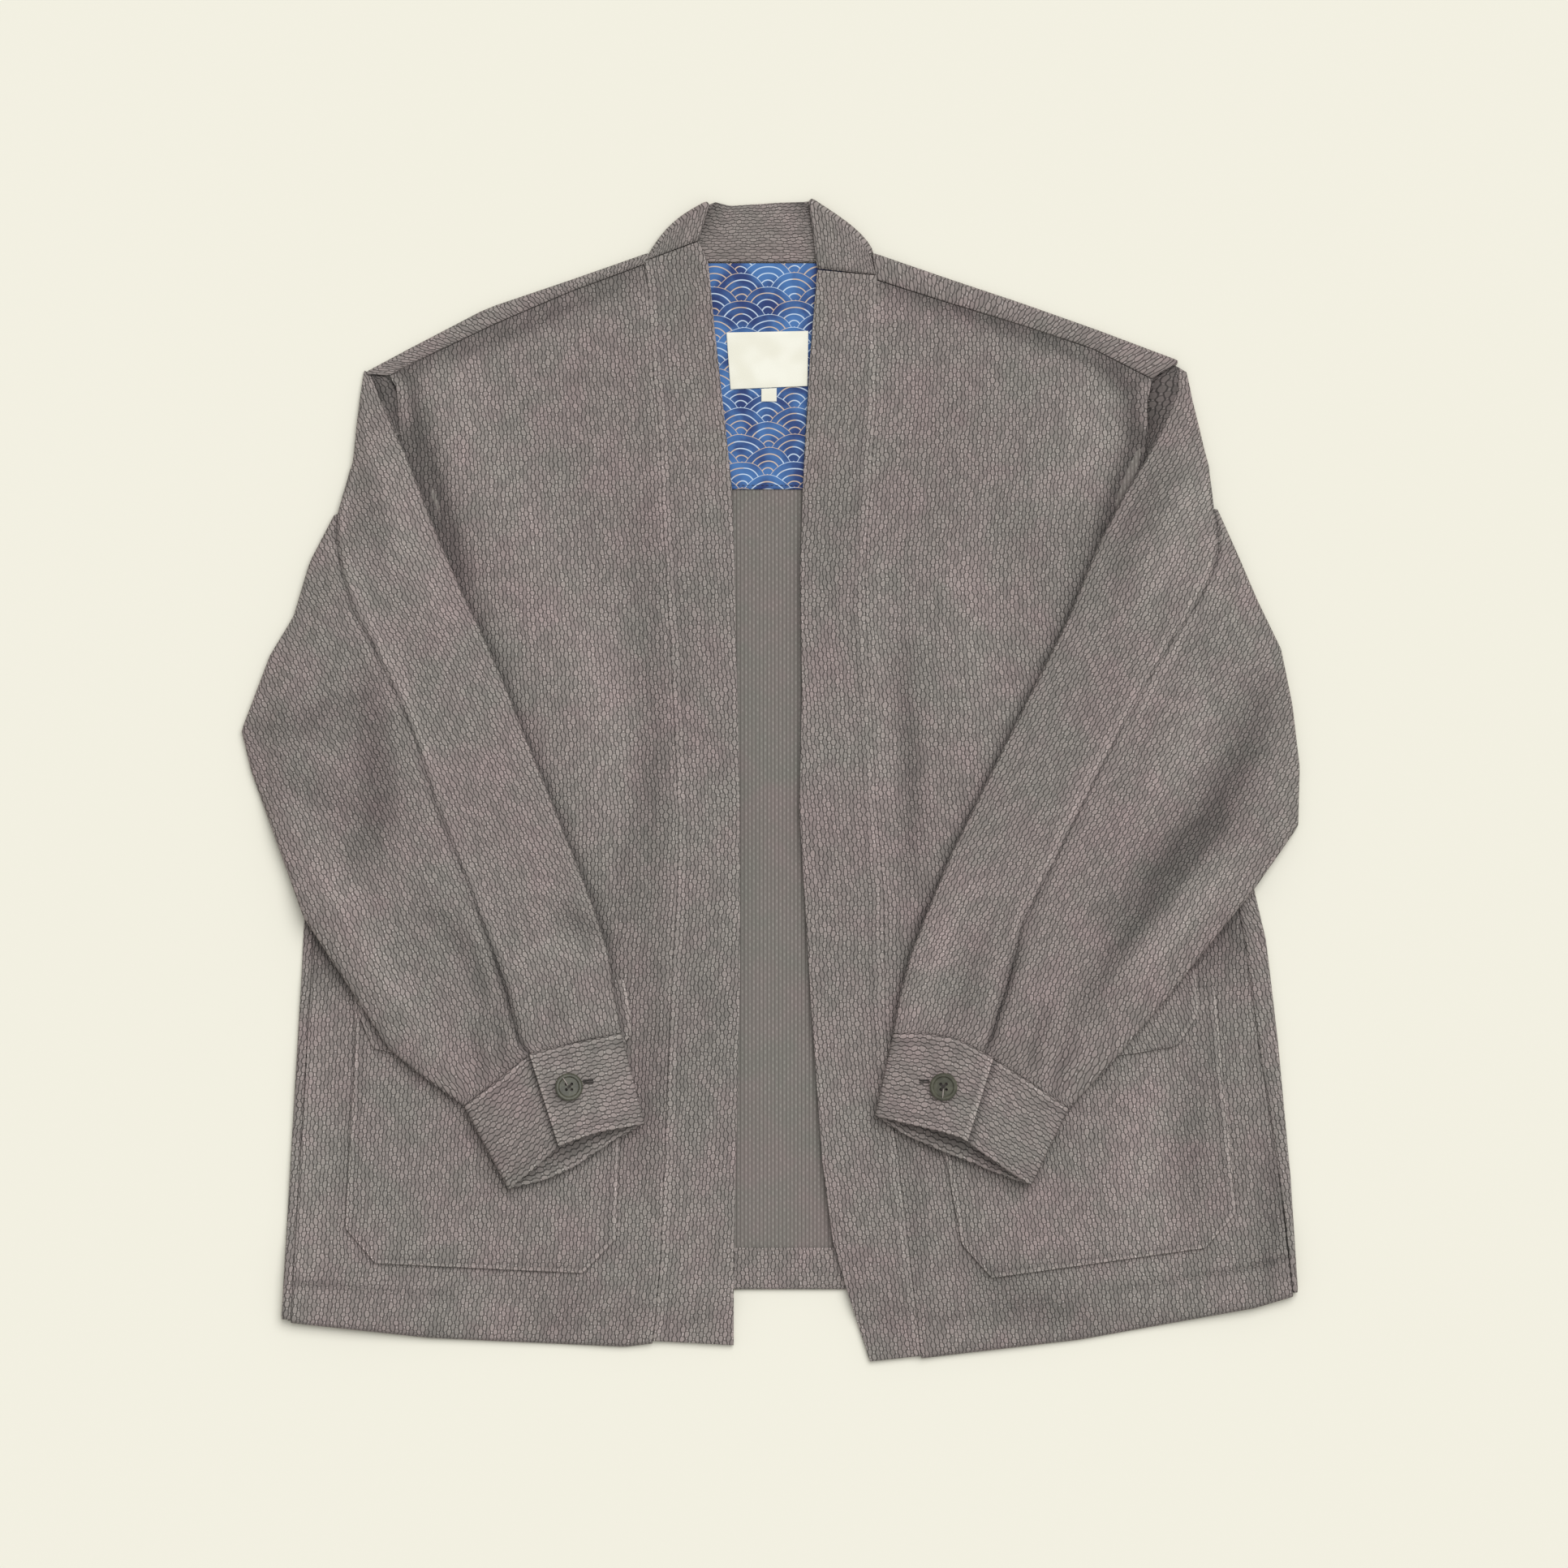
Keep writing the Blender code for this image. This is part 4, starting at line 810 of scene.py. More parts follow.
def tape(name):
    """Smooth cream tape with a very fine weave."""
    g = Graph(name, 0.55)
    pos = g.position()
    fine = g.noise(pos, 1500.0, 1.0)
    slow = g.noise(pos, 60.0, 1.0)
    c = g.mix(g.step(slow, 0.3, 0.7), rgb(238, 236, 220), rgb(247, 246, 233))
    g.colour(c)
    g.bump(fine, 0.00008, 0.5)
    return g.mat


def shell(name):
    """Dark olive-grey button with faint cloudy streaks."""
    g = Graph(name, 0.34)
    pos = g.position()
    streak = g.noise(pos, 160.0, 4.0, Distortion=1.2)
    dim, bright = (tuple(f * k for k in opts().button) + (1.0,) for f in (0.75, 1.35))
    g.colour(g.mix(g.step(streak, 0.35, 0.7), dim, bright))
    g.bump(streak, 0.00006, 0.4)
    return g.mat


def thread_mat(name, tone):
    """Sewing thread, a little paler in places."""
    g = Graph(name, 0.7)
    pos = g.position()
    n = g.noise(pos, 900.0, 1.0)
    a = [min(255, c * 1.12) for c in tone]
    g.colour(g.mix(n, rgb(*tone), rgb(*a)))
    return g.mat


MATS = {}


def materials():
    """Each material, made once."""
    if not MATS:
        MATS.update(
            grain=rice_grain("rice_grain_cotton"), inside=plain_inside("cotton_inner_face"),
            printed=wave_print("indigo_wave_print"), tape=tape("cream_tape"),
            shell=shell("button_shell"), thread=thread_mat("grey_thread", (150, 141, 136)),
            dark=thread_mat("dark_thread", (52, 47, 44)))
    return MATS


def make_back():
    """The back: flat, lapped over both shoulders and round both sides, its hem turned inside."""
    m = materials()
    shoulder_l = [(-258.8, 262.0)] + TOP_L[1:-1] + [(-78.4, 338.0)]
    shoulder_r = [(65.2, 338.0)] + TOP_R[1:-1] + [(260.4, 269.2)]
    cols_l, cols_r = place(shoulder_l, shares(20, 0.01)), place(shoulder_r, shares(20, 0.01))
    neck = place(NECKLINE, np.linspace(0, 1, 22))[1:-1]
    top = np.concatenate([cols_l, neck, cols_r])
    nl, nr, nu = len(cols_l), len(cols_r), len(top)
    top[:nl, 1] -= 2.0
    top[nu - nr:, 1] -= 2.0
    sv = np.concatenate([[0.0, 0.004], np.linspace(0.012, 0.06, 8), np.linspace(0.07, 1.0, 76)])
    nv = len(sv)
    left = [(x + 1.9, y) for x, y in SIDE_L] + [(x + 0.4, y) for x, y in ARM_L[1:-1]] + [tuple(top[0])]
    right = [(x - 1.9, y) for x, y in SIDE_R] + [(x - 0.4, y) for x, y in ARM_R[1:-1]] + [tuple(top[-1])]
    ld, rd = place(left, sv), place(right, sv)
    s = (top[:, 0] - top[0][0]) / (top[-1][0] - top[0][0])
    bx = left[0][0] + s * (right[0][0] - left[0][0])
    low = np.stack([bx, across(BACK_HEM, bx)], axis=1)
    u, v = s[None, :, None], sv[:, None, None]
    p = (1 - v) * low[None] + v * top[None] + (1 - u) * ld[:, None] + u * rd[:, None]
    p = p - ((1 - u) * (1 - v) * low[0] + u * (1 - v) * low[-1] + (1 - u) * v * top[0] + u * v * top[-1])
    back = Panel(np.concatenate([p, np.full((nv, nu, 1), BACK_MID)], axis=-1), p)
    round_ = [0.14, 0.28, 0.42, 0.56, 0.7, 0.85, 1.0]
    for block, seam in ((range(0, nl), YOKE_L), (range(nu - nr, nu), YOKE_R)):
        sp, tp = place(seam, shares(20, 0.01)), top[list(block)]
        up = front_z(sp[:, 0], sp[:, 1]) + 0.35
        rows, grains = [], []
        for t in round_ + [1.5, 1.93, 2.0]:
            f = max(0.0, t - 1)
            a = math.pi * min(t, 1.0)
            xy = tp + (sp + [0, 0.1] - tp) * f + [0, 1.15 * math.sin(a) * (t <= 1)]
            z = BACK_MID + (up - BACK_MID) * (1 - math.cos(a)) / 2
            z = z + 0.5 * math.sin(math.pi * f) - 0.5 * (f > 0.9)
            rows.append(np.concatenate([xy, z[:, None]], axis=1))
            grains.append(tp + [0, 4 + 9 * t])
        back.lap([back.at[nv - 1, i] for i in block], rows, grains)
    for side, sign in ((0, -1), (nu - 1, 1)):
        last = int((p[:, side, 1] < -60.0).sum())
        xy = p[:last, side]
        wide = np.full(last, WRAP_L) if sign < 0 else along(WRAP_R, xy[:, 1])
        up = front_z(xy[:, 0] - sign * wide, xy[:, 1]) + 0.3 + 0.25 * np.sin(xy[:, 1] / 1.1)
        rows, grains = [], []
        for t in round_ + [1.4, 1.8, 2.0]:
            f = max(0.0, t - 1)
            a = math.pi * min(t, 1.0)
            x = xy[:, 0] - sign * wide * f + sign * 1.15 * math.sin(a) * (t <= 1)
            z = BACK_MID + (up - BACK_MID) * (1 - math.cos(a)) / 2 - 0.4 * (f > 0.9)
            rows.append(np.stack([x, xy[:, 1], z], axis=1))
            grains.append(np.stack([xy[:, 0] + sign * (4.5 * min(t, 1.0) + wide * f), xy[:, 1]], axis=1))
        back.lap([back.at[j, side] for j in range(last)], rows, grains)
    xy = p[0, 1:-1]
    rows, grains = [], []
    for t in [0.2, 0.4, 0.6, 0.8, 1.0, 1.3, 1.6, 1.9, 1.97, 2.0]:
        f, a = max(0.0, t - 1), math.pi * min(t, 1.0)
        y = xy[:, 1] + TURN_UP * f - 0.95 * math.sin(a) * (t <= 1)
        z = BACK_MID + STEP * (1 - math.cos(a)) / 2 + 0.25 * math.sin(math.pi * f)
        rows.append(np.stack([xy[:, 0], y, np.full(len(y), z)], axis=1))
        grains.append(xy - [0, 26 * t])
    back.lap([back.at[0, i] for i in range(1, nu - 1)], rows, grains)
    obj = back.wall("jacket_back", CLOTH / 2, CLOTH / 2, m["grain"], inner=m["inside"])
    cotton(obj, "back")


def make_front(side, seam, hem, edge_side, arm, yoke, sign):
    """A front with its hem turned up inside."""
    lap = (lambda y: WRAP_L) if sign < 0 else (lambda y: float(along(WRAP_R, y)))
    edge = [(x - sign * (2.3 + lap(y)), y) for x, y in edge_side] + [tuple(p) for p in arm[1:]]
    inner = [(x + sign * 0.03, y) for x, y in reversed(seam)]
    line = [q for q in hem if abs(q[0]) < abs(edge[0][0]) - 1]
    line = line if sign > 0 else line[::-1]
    line = [inner[0]] + line[1:] + [(edge[0][0], float(across(hem, edge[0][0])))]
    edge[0] = line[-1]
    top = [(x, y - 0.45) for x, y in yoke]
    top = top if sign > 0 else top[::-1]
    inner[-1], edge[-1] = top[0], top[-1]
    su, sv = shares(58, 0.003), shares(150, 0.0012)
    p = patch(line, top, inner, edge, su, sv)
    x, y = p[..., 0], p[..., 1]
    z = front_z(x, y) - 0.5 * np.exp(-((1 - sv) * 230)[:, None] ** 2)
    z = z - 0.35 * bell(y - across(hem, x) - TURN_UP, 1.6)
    grain = np.stack([x - along(seam, y), y], axis=-1)
    # Painted shade and highlight: the creases' shade, a painted highlight along the band seam, painted
    # shade along the top of the turned hem, at the hem's edge and at the shoulder seam.
    seam_highlight = bell(x - along(seam, y), 2.2)
    hem_shade = bell(y - across(hem, x) - TURN_UP, 1.5) + 0.6 * bell(y - across(hem, x), 1.2)
    fold = front_painted_shade(x, y) + 0.22 * seam_highlight - 0.6 * hem_shade - 0.5 * np.exp(-((1 - sv) * 260)[:, None] ** 2)
    front = Panel(raised(p, z), grain, fold)
    xy, z0 = p[0], z[0]
    rows, grains = [], []
    for t in [0.25, 0.5, 0.75, 1.0, 1.5, 1.96, 2.0]:
        f, a = max(0.0, t - 1), math.pi * min(t, 1.0)
        yy = xy[:, 1] + TURN_UP * f - 0.95 * math.sin(a) * (t <= 1)
        zz = z0 - STEP * (1 - math.cos(a)) / 2 if t <= 1 else front_z(xy[:, 0], yy) - STEP
        rows.append(np.stack([xy[:, 0], yy, zz], axis=1))
        grains.append(np.stack([grain[0, :, 0], yy - 4 - 25 * t], axis=1))
    front.lap([front.at[0, i] for i in range(len(su))], rows, grains)
    obj = front.wall("jacket_front_" + side, CLOTH / 2, CLOTH / 2, materials()["grain"], 0.75)
    cotton(obj, "front_" + side)


def make_band(side, seam, opening, cross, sign):
    """A front band: a double strip, rolled along its seam and folded at the opening."""
    outer = [(x - sign * 0.03, y) for x, y in reversed(seam)]
    outer[-1] = (cross[0][0] + sign * 1.7, cross[0][1] - 0.2)
    inner = list(reversed(opening))
    inner[-1] = (opening[0][0], opening[0][1] - 0.2)
    su = np.array([0, 0.012, 0.04, 0.08, 0.14, 0.22, 0.32, 0.42, 0.52,
                   0.62, 0.72, 0.81, 0.88, 0.93, 0.965, 0.985, 0.996, 1])
    sv = shares(150, 0.0012)
    p = patch([outer[0], inner[0]], [outer[-1], inner[-1]], outer, inner, su, sv)
    x, y = p[..., 0], p[..., 1]
    roll = 0.55 * bell(su - 0.06, 0.06)[None, :] - 0.2 * bell(su - 0.17, 0.03)[None, :]
    z = band_z(x, y) + roll
    grain = np.stack([x - along(seam, y), y + 2.0], axis=-1)
    # Painted highlight along the rolled seam edge and the folded opening edge, painted shade in the dip
    # beside the roll; low waves vary the tone.
    rim = 0.35 * bell(su - 0.05, 0.05) + 0.3 * bell(su - 0.985, 0.02)
    fold = rim[None, :] - 0.3 * bell(su - 0.16, 0.03)[None, :] + waves(x, y, 30.0, 0.12)
    band = Panel(raised(p, z), grain, fold)
    nu = len(su)
    ends = {j * nu + nu - 1 - k: r for j in range(len(sv)) for k, r in enumerate((0.6, 0.75, 0.9))}
    obj = band.wall("front_band_" + side, BAND / 2, BAND / 2, materials()["grain"], 0.85, ends=ends)
    cotton(obj, "band_" + side)


def unit(x, y):
    """A direction of length 1."""
    d = math.hypot(x, y)
    return np.array([x / d, y / d])


def make_neck():
    """The neck band: folded over at both corners, its inner face seen at the back neck."""
    turn = (BAND_MID - BAND / 2) / 2
    steps = np.array([0.0, 0.015, 0.06, 0.14, 0.25, 0.38, 0.5, 0.62, 0.74, 0.84, 0.91, 0.96, 0.985, 1.0])
    out_l = unit(-(MITRE_L[1][1] - MITRE_L[0][1]), MITRE_L[1][0] - MITRE_L[0][0])
    out_r = unit(MITRE_R[1][1] - MITRE_R[0][1], -(MITRE_R[1][0] - MITRE_R[0][0]))

    def straight(a, b, z):
        xy = np.array(a) + (np.array(b) - np.array(a)) * steps[:, None] + [0, 0.2]
        return np.concatenate([xy, (z + 0.3 * np.sin(math.pi * steps))[:, None]], axis=1)

    def mitre(a, b, out, peak):
        rows, a, b = [], np.array(a), np.array(b)
        for k in range(13):
            w = math.pi * (1 - k / 12)
            xy = a + (b - a) * steps[:, None] + out * (turn * math.sin(w) - turn - BAND / 2)
            xy = xy + out * (4.2 * np.sin(math.pi * steps ** peak))[:, None]
            z = np.full((len(steps), 1), BAND / 2 + turn * (1 - math.cos(w)))
            rows.append(np.concatenate([xy, z], axis=1))
        return rows

    def between(r0, r1, n):
        return [r0 + (r1 - r0) * t for t in np.linspace(0, 1, n + 2)[1:-1]]

    first = straight((CROSS_L[0][0] - 1.7, CROSS_L[0][1]), CROSS_L[1], BAND_MID)
    end = straight((CROSS_R[0][0] + 1.7, CROSS_R[0][1]), CROSS_R[1], BAND_MID)
    ml, mr = mitre(*MITRE_L, out_l, 0.95), mitre(*MITRE_R, out_r, 0.62)[::-1]
    low, high = place(NECK_LOW, np.linspace(0, 1, 20)), place(NECK_TOP, np.linspace(0, 1, 20))
    mid = [straight(a, b, BAND / 2) - [0, 0.2, 0] for a, b in zip(low, high)]
    rows = [first] + between(first, ml[0], 5) + ml + between(ml[-1], mid[0], 3) + mid
    rows += between(mid[-1], mr[0], 3) + mr + between(mr[-1], end, 8) + [end]
    rows = np.array(rows)
    length = np.concatenate([[0], np.cumsum(np.linalg.norm(np.diff(rows[:, 6], axis=0), axis=1))])
    grain = np.stack(np.broadcast_arrays(steps[None, :] * BAND_WIDE, length[:, None]), axis=-1)
    behind = 6 + len(ml) + 3
    from_ends = np.arange(len(mid))
    # Painted shade at both ends of the band's stretch behind the neck.
    shade = np.zeros(len(rows))
    shade[behind:behind + len(mid)] = -bell(from_ends, 2.4) - bell(from_ends[::-1], 2.4)
    nu = len(steps)
    neck = Panel(rows, grain, np.repeat(shade[:, None], nu, axis=1))
    ends = {j * nu + nu - 1 - k: r for j in range(len(rows)) for k, r in enumerate((0.6, 0.75))}
    obj = neck.wall("neck_band", BAND / 2, BAND / 2, materials()["grain"], 0.7, ends=ends)
    cotton(obj, "band_neck")


def make_inside():
    """Printed neck facing, bare label and bare size tab."""
    m = materials()
    x0, y0, x1, y1 = FACING
    su, sv = shares(40, 0.006), shares(54, 0.006)
    a, b, c, d = (x0, y0), (x0, y1), (x1, y1), (x1, y0)
    p = patch([a, d], [b, c], [a, b], [d, c], su, sv)
    x, y = p[..., 0], p[..., 1]
    z = 2.25 + waves(x, y, 13.0, 0.12, 0.4) - 0.25 * bell(y - y0 - 2.5, 0.9)
    facing = Panel(raised(p, z), p)
    obj = facing.wall("printed_facing", 0.35, 0.35, m["printed"])
    flat = ((x1 - x0) * 0.001, (y1 - y0) * 0.001)
    cotton(obj, "neck_facing")
    for name, node, loop, flat in (("blank_size_tab", "size_tab", SIZE_TAB, None),
                                   ("blank_label", "label", LABEL, (0.052, 0.036))):
        a, b, c, d = loop
        su, sv = shares(14, 0.012), shares(12, 0.012)
        p = patch([b, c], [a, d], [b, a], [c, d], su, sv)
        z = 3.24 + waves(p[..., 0], p[..., 1], 9.0, 0.1, 0.9)
        obj = Panel(raised(p, z), p).wall(name, 0.18, 0.18, m["tape"])
        cotton(obj, node)


def make_pocket(name, node, table, rise):
    """A pocket or flap: the front's form moved out, with a slightly raised sewn edge."""
    pocket = rise < 3
    left, right = [(r[0], r[1]) for r in table], [(r[2], r[3]) for r in table]
    su, sv = shares(44, 0.004), shares(44 if pocket else 20, 0.004)
    p = patch([left[-1], right[-1]], [left[0], right[0]], left[::-1], right[::-1], su, sv)
    x, y = p[..., 0], p[..., 1]
    edge_u = np.minimum(su, 1 - su)[None, :] * 170
    e = np.minimum(edge_u, np.array(sv)[:, None] * (180 if pocket else 48))
    z = front_z(x, y) + rise + 0.38 * bell(e - 1.3, 1.2) - 0.12 * bell(e - 4.4, 1.2)
    slope = (left[-2][0] - left[0][0]) / (left[-2][1] - left[0][1])
    ref = left[0][0] + (y - left[0][1]) * slope
    grain = np.stack([x - ref + 1.2, y + 2.9], axis=-1)
    # Painted shade and highlight: the front's crease shade, a painted highlight along the sewn edge and
    # painted shade just inside it.
    fold = front_painted_shade(x, y) + 0.8 * bell(e - 1.1, 1.4) - 0.4 * bell(e - 4.4, 1.1)
    obj = Panel(raised(p, z), grain, fold).wall(name, CLOTH / 2, CLOTH / 2, materials()["grain"])
    cotton(obj, node)


def cuff_edge(table, u, c):
    """Points of a cuff's edge, from the table's columns c and c + 1, at places across."""
    k = [r[0] for r in table]
    x, y = (np.interp(u, k, [r[i] for r in table]) for i in (c, c + 1))
    return np.stack([x, y], axis=-1)


def cuff_point(table, u, w, lap, v):
    """A point of a cuff: place across, high or low, lap over its own end, place from seam to mouth."""
    rise = (5.2 + (MOUTH - 5.2) * v) * np.sin(math.pi * np.clip(u, 0.05, 0.95)) ** 0.6
    seam = cuff_edge(table, u, 1)
    high, far = np.asarray(w)[..., None], np.asarray(v)[..., None]
    end = cuff_edge(table, u, 3) * high + cuff_edge(table, u, 5) * (1 - high)
    p = seam + (end - seam) * far
    z = 8.6 + CUFF / 2 + w * (CUFF + GAP + rise) + lap * (CUFF + GAP)
    return raised(p, z)


def make_cuff(side, table):
    """A cuff: one double strip that goes round the wrist and laps over its own end."""
    way = np.array(CUFF_WAY, float)
    fine = [way[0], way[0] + (way[1] - way[0]) * 0.1]
    for a, b in zip(way, way[1:]):
        n = 2 if abs(b[0] - a[0]) > 0.03 else 1
        fine += [a + (b - a) * t for t in np.linspace(0, 1, n + 1)[1:]]
    way = np.array(fine)
    sv = shares(22, 0.02)
    u, w, lap, v = np.broadcast_arrays(*way.T[:, None], np.array(sv)[:, None])
    p = cuff_point(table, u, w, lap, v)
    girth = np.concatenate([[0], np.cumsum(np.linalg.norm(np.diff(p[len(sv) // 2], axis=0), axis=1))])
    free = girth[None, :] * np.ones_like(v)
    e = np.minimum(CUFF_DEEP * np.minimum(v, 1 - v), free)
    edge = 0.4 * bell(e - 1.6, 1.3) - 0.22 * bell(e - 5.4, 1.3)
    p[..., 2] += (edge + waves(free, v * CUFF_DEEP, 12.0, 0.35, 0.3)) * (w > 0.9)
    # Painted highlight along the cuff's edges and its overlap's free end, painted shade just inside the
    # edges and a painted shadow on the layer beyond the overlap's end.
    beyond = np.clip((u - 0.57) * 118.0, 0, None)
    fold = 0.25 * bell(e - 0.9, 1.2) - 0.35 * bell(e - 5.2, 1.2)
    fold = fold + 0.9 * bell(free - 0.9, 1.2)
    fold = fold - 1.4 * bell(beyond, 2.2) * (w > 0.9) * (lap < 0.01) * (u > 0.5)
    cuff = Panel(p, np.stack([v * CUFF_DEEP, free], axis=-1), fold)
    obj = cuff.wall("wrist_cuff_" + side, CUFF / 2, CUFF / 2, materials()["grain"], 0.6)
    cotton(obj, "cuff_" + side)


def make_sleeve(piece, side, table, cuff_table, folds, sign):
    """One length of a sleeve as a wall of cloth round its folded form."""
    t = np.array(table, float)
    middle = t[:, :2] + t[:, 2:4]
    s = np.concatenate([[0], np.cumsum(np.linalg.norm(np.diff(middle, axis=0), axis=1) / 2)])
    upper = piece == "upper"
    starts = 0.0 if upper else s[[k for k in range(len(t)) if t[k, 4] < 0.99][0]]
    at = np.linspace(starts, s[-1], 96 if upper else 84)
    col = [np.interp(at, s, t[:, k]) for k in range(7)]
    on = np.interp(at, s, t[:, 7]) > 0.999
    last = ease((at - s[-2]) / (s[-1] - s[-2]))
    loops, grains, painted_shade_rows = [], [], []
    for k in range(len(at)):
        ix, iy, ox, oy, cut, tx, ty = [c[k] for c in col]
        wide = math.hypot(ox - ix, oy - iy)
        rise = PUFF * float(ease(wide / 130.0)) * (1 - 0.45 * last[k])
        fold = min(FOLD, 1.2 + wide * 0.16)
        gap = 0.12 / wide
        lo, hi = (0.0, 1.0 if cut > 0.99 else cut - gap) if upper else (cut + gap, 1.0)
        rim = min(2.6 / wide, (hi - lo) * 0.45)
        even = np.linspace(0, 1, 26)
        if upper:
            us = rim + (hi - rim) * even[:-1] * 0.985
            us = np.concatenate([np.array([0, 0.06, 0.2, 0.5]) * rim, us, [hi - 0.006 * (hi - rim), hi]])
        else:
            us = lo + (1 - rim - lo) * np.concatenate([[0, 0.006], 0.015 + 0.985 * even[1:]])
            us = np.concatenate([us, 1 - np.array([0.5, 0.2, 0.06, 0]) * rim])
        x, y = ix + (ox - ix) * us, iy + (oy - iy) * us
        bow = cuff_edge(cuff_table, us, 1) + [0, 0.3]
        x, y = x + (bow[:, 0] - x) * last[k], y + (bow[:, 1] - y) * last[k]
        base = floor_z(x, y) if on[k] else np.full(len(us), 0.7)
        edge = np.sqrt(np.clip(1 - (1 - np.minimum(1, np.minimum(us, 1 - us) * wide / 2.6)) ** 2, 0, 1))
        seam = np.zeros(len(us))
        if cut < 0.99:
            far = (us - cut) * wide
            seam = (0.7 if upper else 0.25) * bell(np.abs(far) - 4.0, 2.4) - 1.3 * bell(far, 1.7)
        crease = creases(folds, x, y)
        soft = (1.5 * crease * opts().crease_depth + waves(x, y, 17.0, 0.45, 0.5 * sign)) * edge
        h = fold * (0.5 + 0.5 * edge) + rise * np.sin(math.pi * us) ** 0.8 + seam
        h = h + soft * float(ease(wide / 45.0))
        h = h + 1.6 * last[k] * np.interp(us, [0.05, 0.22, 0.43, 0.56, 0.6], [0.1, 0.6, 1.0, 1.0, 0.0])
        # Painted shade and highlight: darker in the creases and in the seam's valley, paler on crease
        # ridges and on the ridges beside the seam.
        dark = crease / 2.6 + 0.5 * np.clip(seam, -1.4, 1)
        top = np.stack([x, y, base + h], axis=1)
        low = np.stack([x, y, base + fold * 0.42 * (1 - edge)], axis=1)
        if upper:
            if on[k]:
                zb, zt = low[0][2] + 0.1, (top[0][2] + low[0][2]) / 2
            else:
                zb, zt = 1.6, 2.0
                top[0][2], low[0][2] = 3.3, 2.2
                tx, ty = tx + 2.4 * sign * -1, ty - 0.4
                # Painted shade on the fold edge's first point, over the wedge of the layer below.
                dark[0] = -1.0
            loop = np.concatenate([[(tx, ty, zb), (tx, ty, zt)], top, low[::-1]])
            # Painted shade on the tip of the layer below; the wall's underside gets none.
            dark = np.concatenate([[-1, -1], dark, dark[::-1] * 0])
            uw = np.concatenate([[-12, -10], us * wide, (2 - us[::-1]) * wide])
        else:
            loop = np.concatenate([top, low[::-1]])
            dark = np.concatenate([dark, dark[::-1] * 0])
            uw = np.concatenate([us * wide + 1.1, (2 - us[::-1]) * wide])
        loops.append(np.concatenate([loop, loop[:1]]))
        painted_shade_rows.append(np.concatenate([dark, dark[:1]]))
        uw = np.concatenate([uw, [uw[-1] + 1.0]])
        grains.append(np.stack([uw, np.full(len(uw), -at[k])], axis=1))
    tube = Panel(np.array(loops), np.array(grains), np.array(painted_shade_rows), tube=True)
    obj = tube.wall("sleeve_%s_cloth_%s" % (piece, side), 0.1, 0.8, materials()["grain"], tube=True)
    cotton(obj, "sleeve_%s_%s" % (piece, side))


def stitch_row(name, marks, radius, mat):
    """Short stitches: each mark is a middle, a direction and a length."""
    bm = bmesh.new()
    for p, d, size in marks:
        turn = Vector(d).to_track_quat("Z", "Y").to_matrix().to_4x4()
        shape = Matrix.Diagonal((radius * 0.001, radius * 0.001, size * 0.0005, 1.0))
        at = Matrix.Translation(Vector(metres(p)))
        bmesh.ops.create_uvsphere(bm, u_segments=6, v_segments=5, radius=1.0, matrix=at @ turn @ shape)
    bmesh.ops.recalc_face_normals(bm, faces=bm.faces[:])
    for f in bm.faces:
        f.smooth = True
    obj = finished(name, bm, mat)
    return obj


def line_marks(points, height, pitch, size, rise):
    """Stitches along a line on a surface."""
    p = np.array(points, float)
    total = float(np.linalg.norm(np.diff(p, axis=0), axis=1).sum())
    n = max(2, int(total / pitch))
    q = place(points, (np.arange(n) + 0.5) / n)
    d = np.gradient(q, axis=0)
    z = height(q[:, 0], q[:, 1]) + rise
    return [((a[0], a[1], c), (b[0], b[1], 0.0), size) for a, b, c in zip(q, d, z)]


def make_stitching():
    """Stitch rows that hold the turned hems and the facing."""
    m = materials()
    marks = []
    for hem, x0, x1 in ((HEM_L, -303.0, -79.0), (HEM_R, 99.0, 318.0)):
        xs = np.linspace(x0, x1, 24)
        marks += line_marks(list(zip(xs, across(hem, xs) + TURN_UP)), front_z, 3.4, 2.0, 0.5)
    xs = np.linspace(-21.0, 44.0, 12)
    marks += line_marks(list(zip(xs, across(BACK_HEM, xs) + TURN_UP - 1.6)),
                        lambda x, y: np.full_like(x, BACK_MID + STEP), 3.2, 2.1, 0.82)
    stitch_row("hem_stitches", marks, 0.24, m["thread"])
    xs = np.linspace(FACING[0] + 4, FACING[2] - 4, 10)
    points = list(zip(xs, np.full(10, FACING[1] + 2.5)))
    low = line_marks(points, lambda x, y: np.full_like(x, 2.4), 3.0, 2.0, 0.2)
    stitch_row("facing_stitches", low, 0.2, m["dark"])


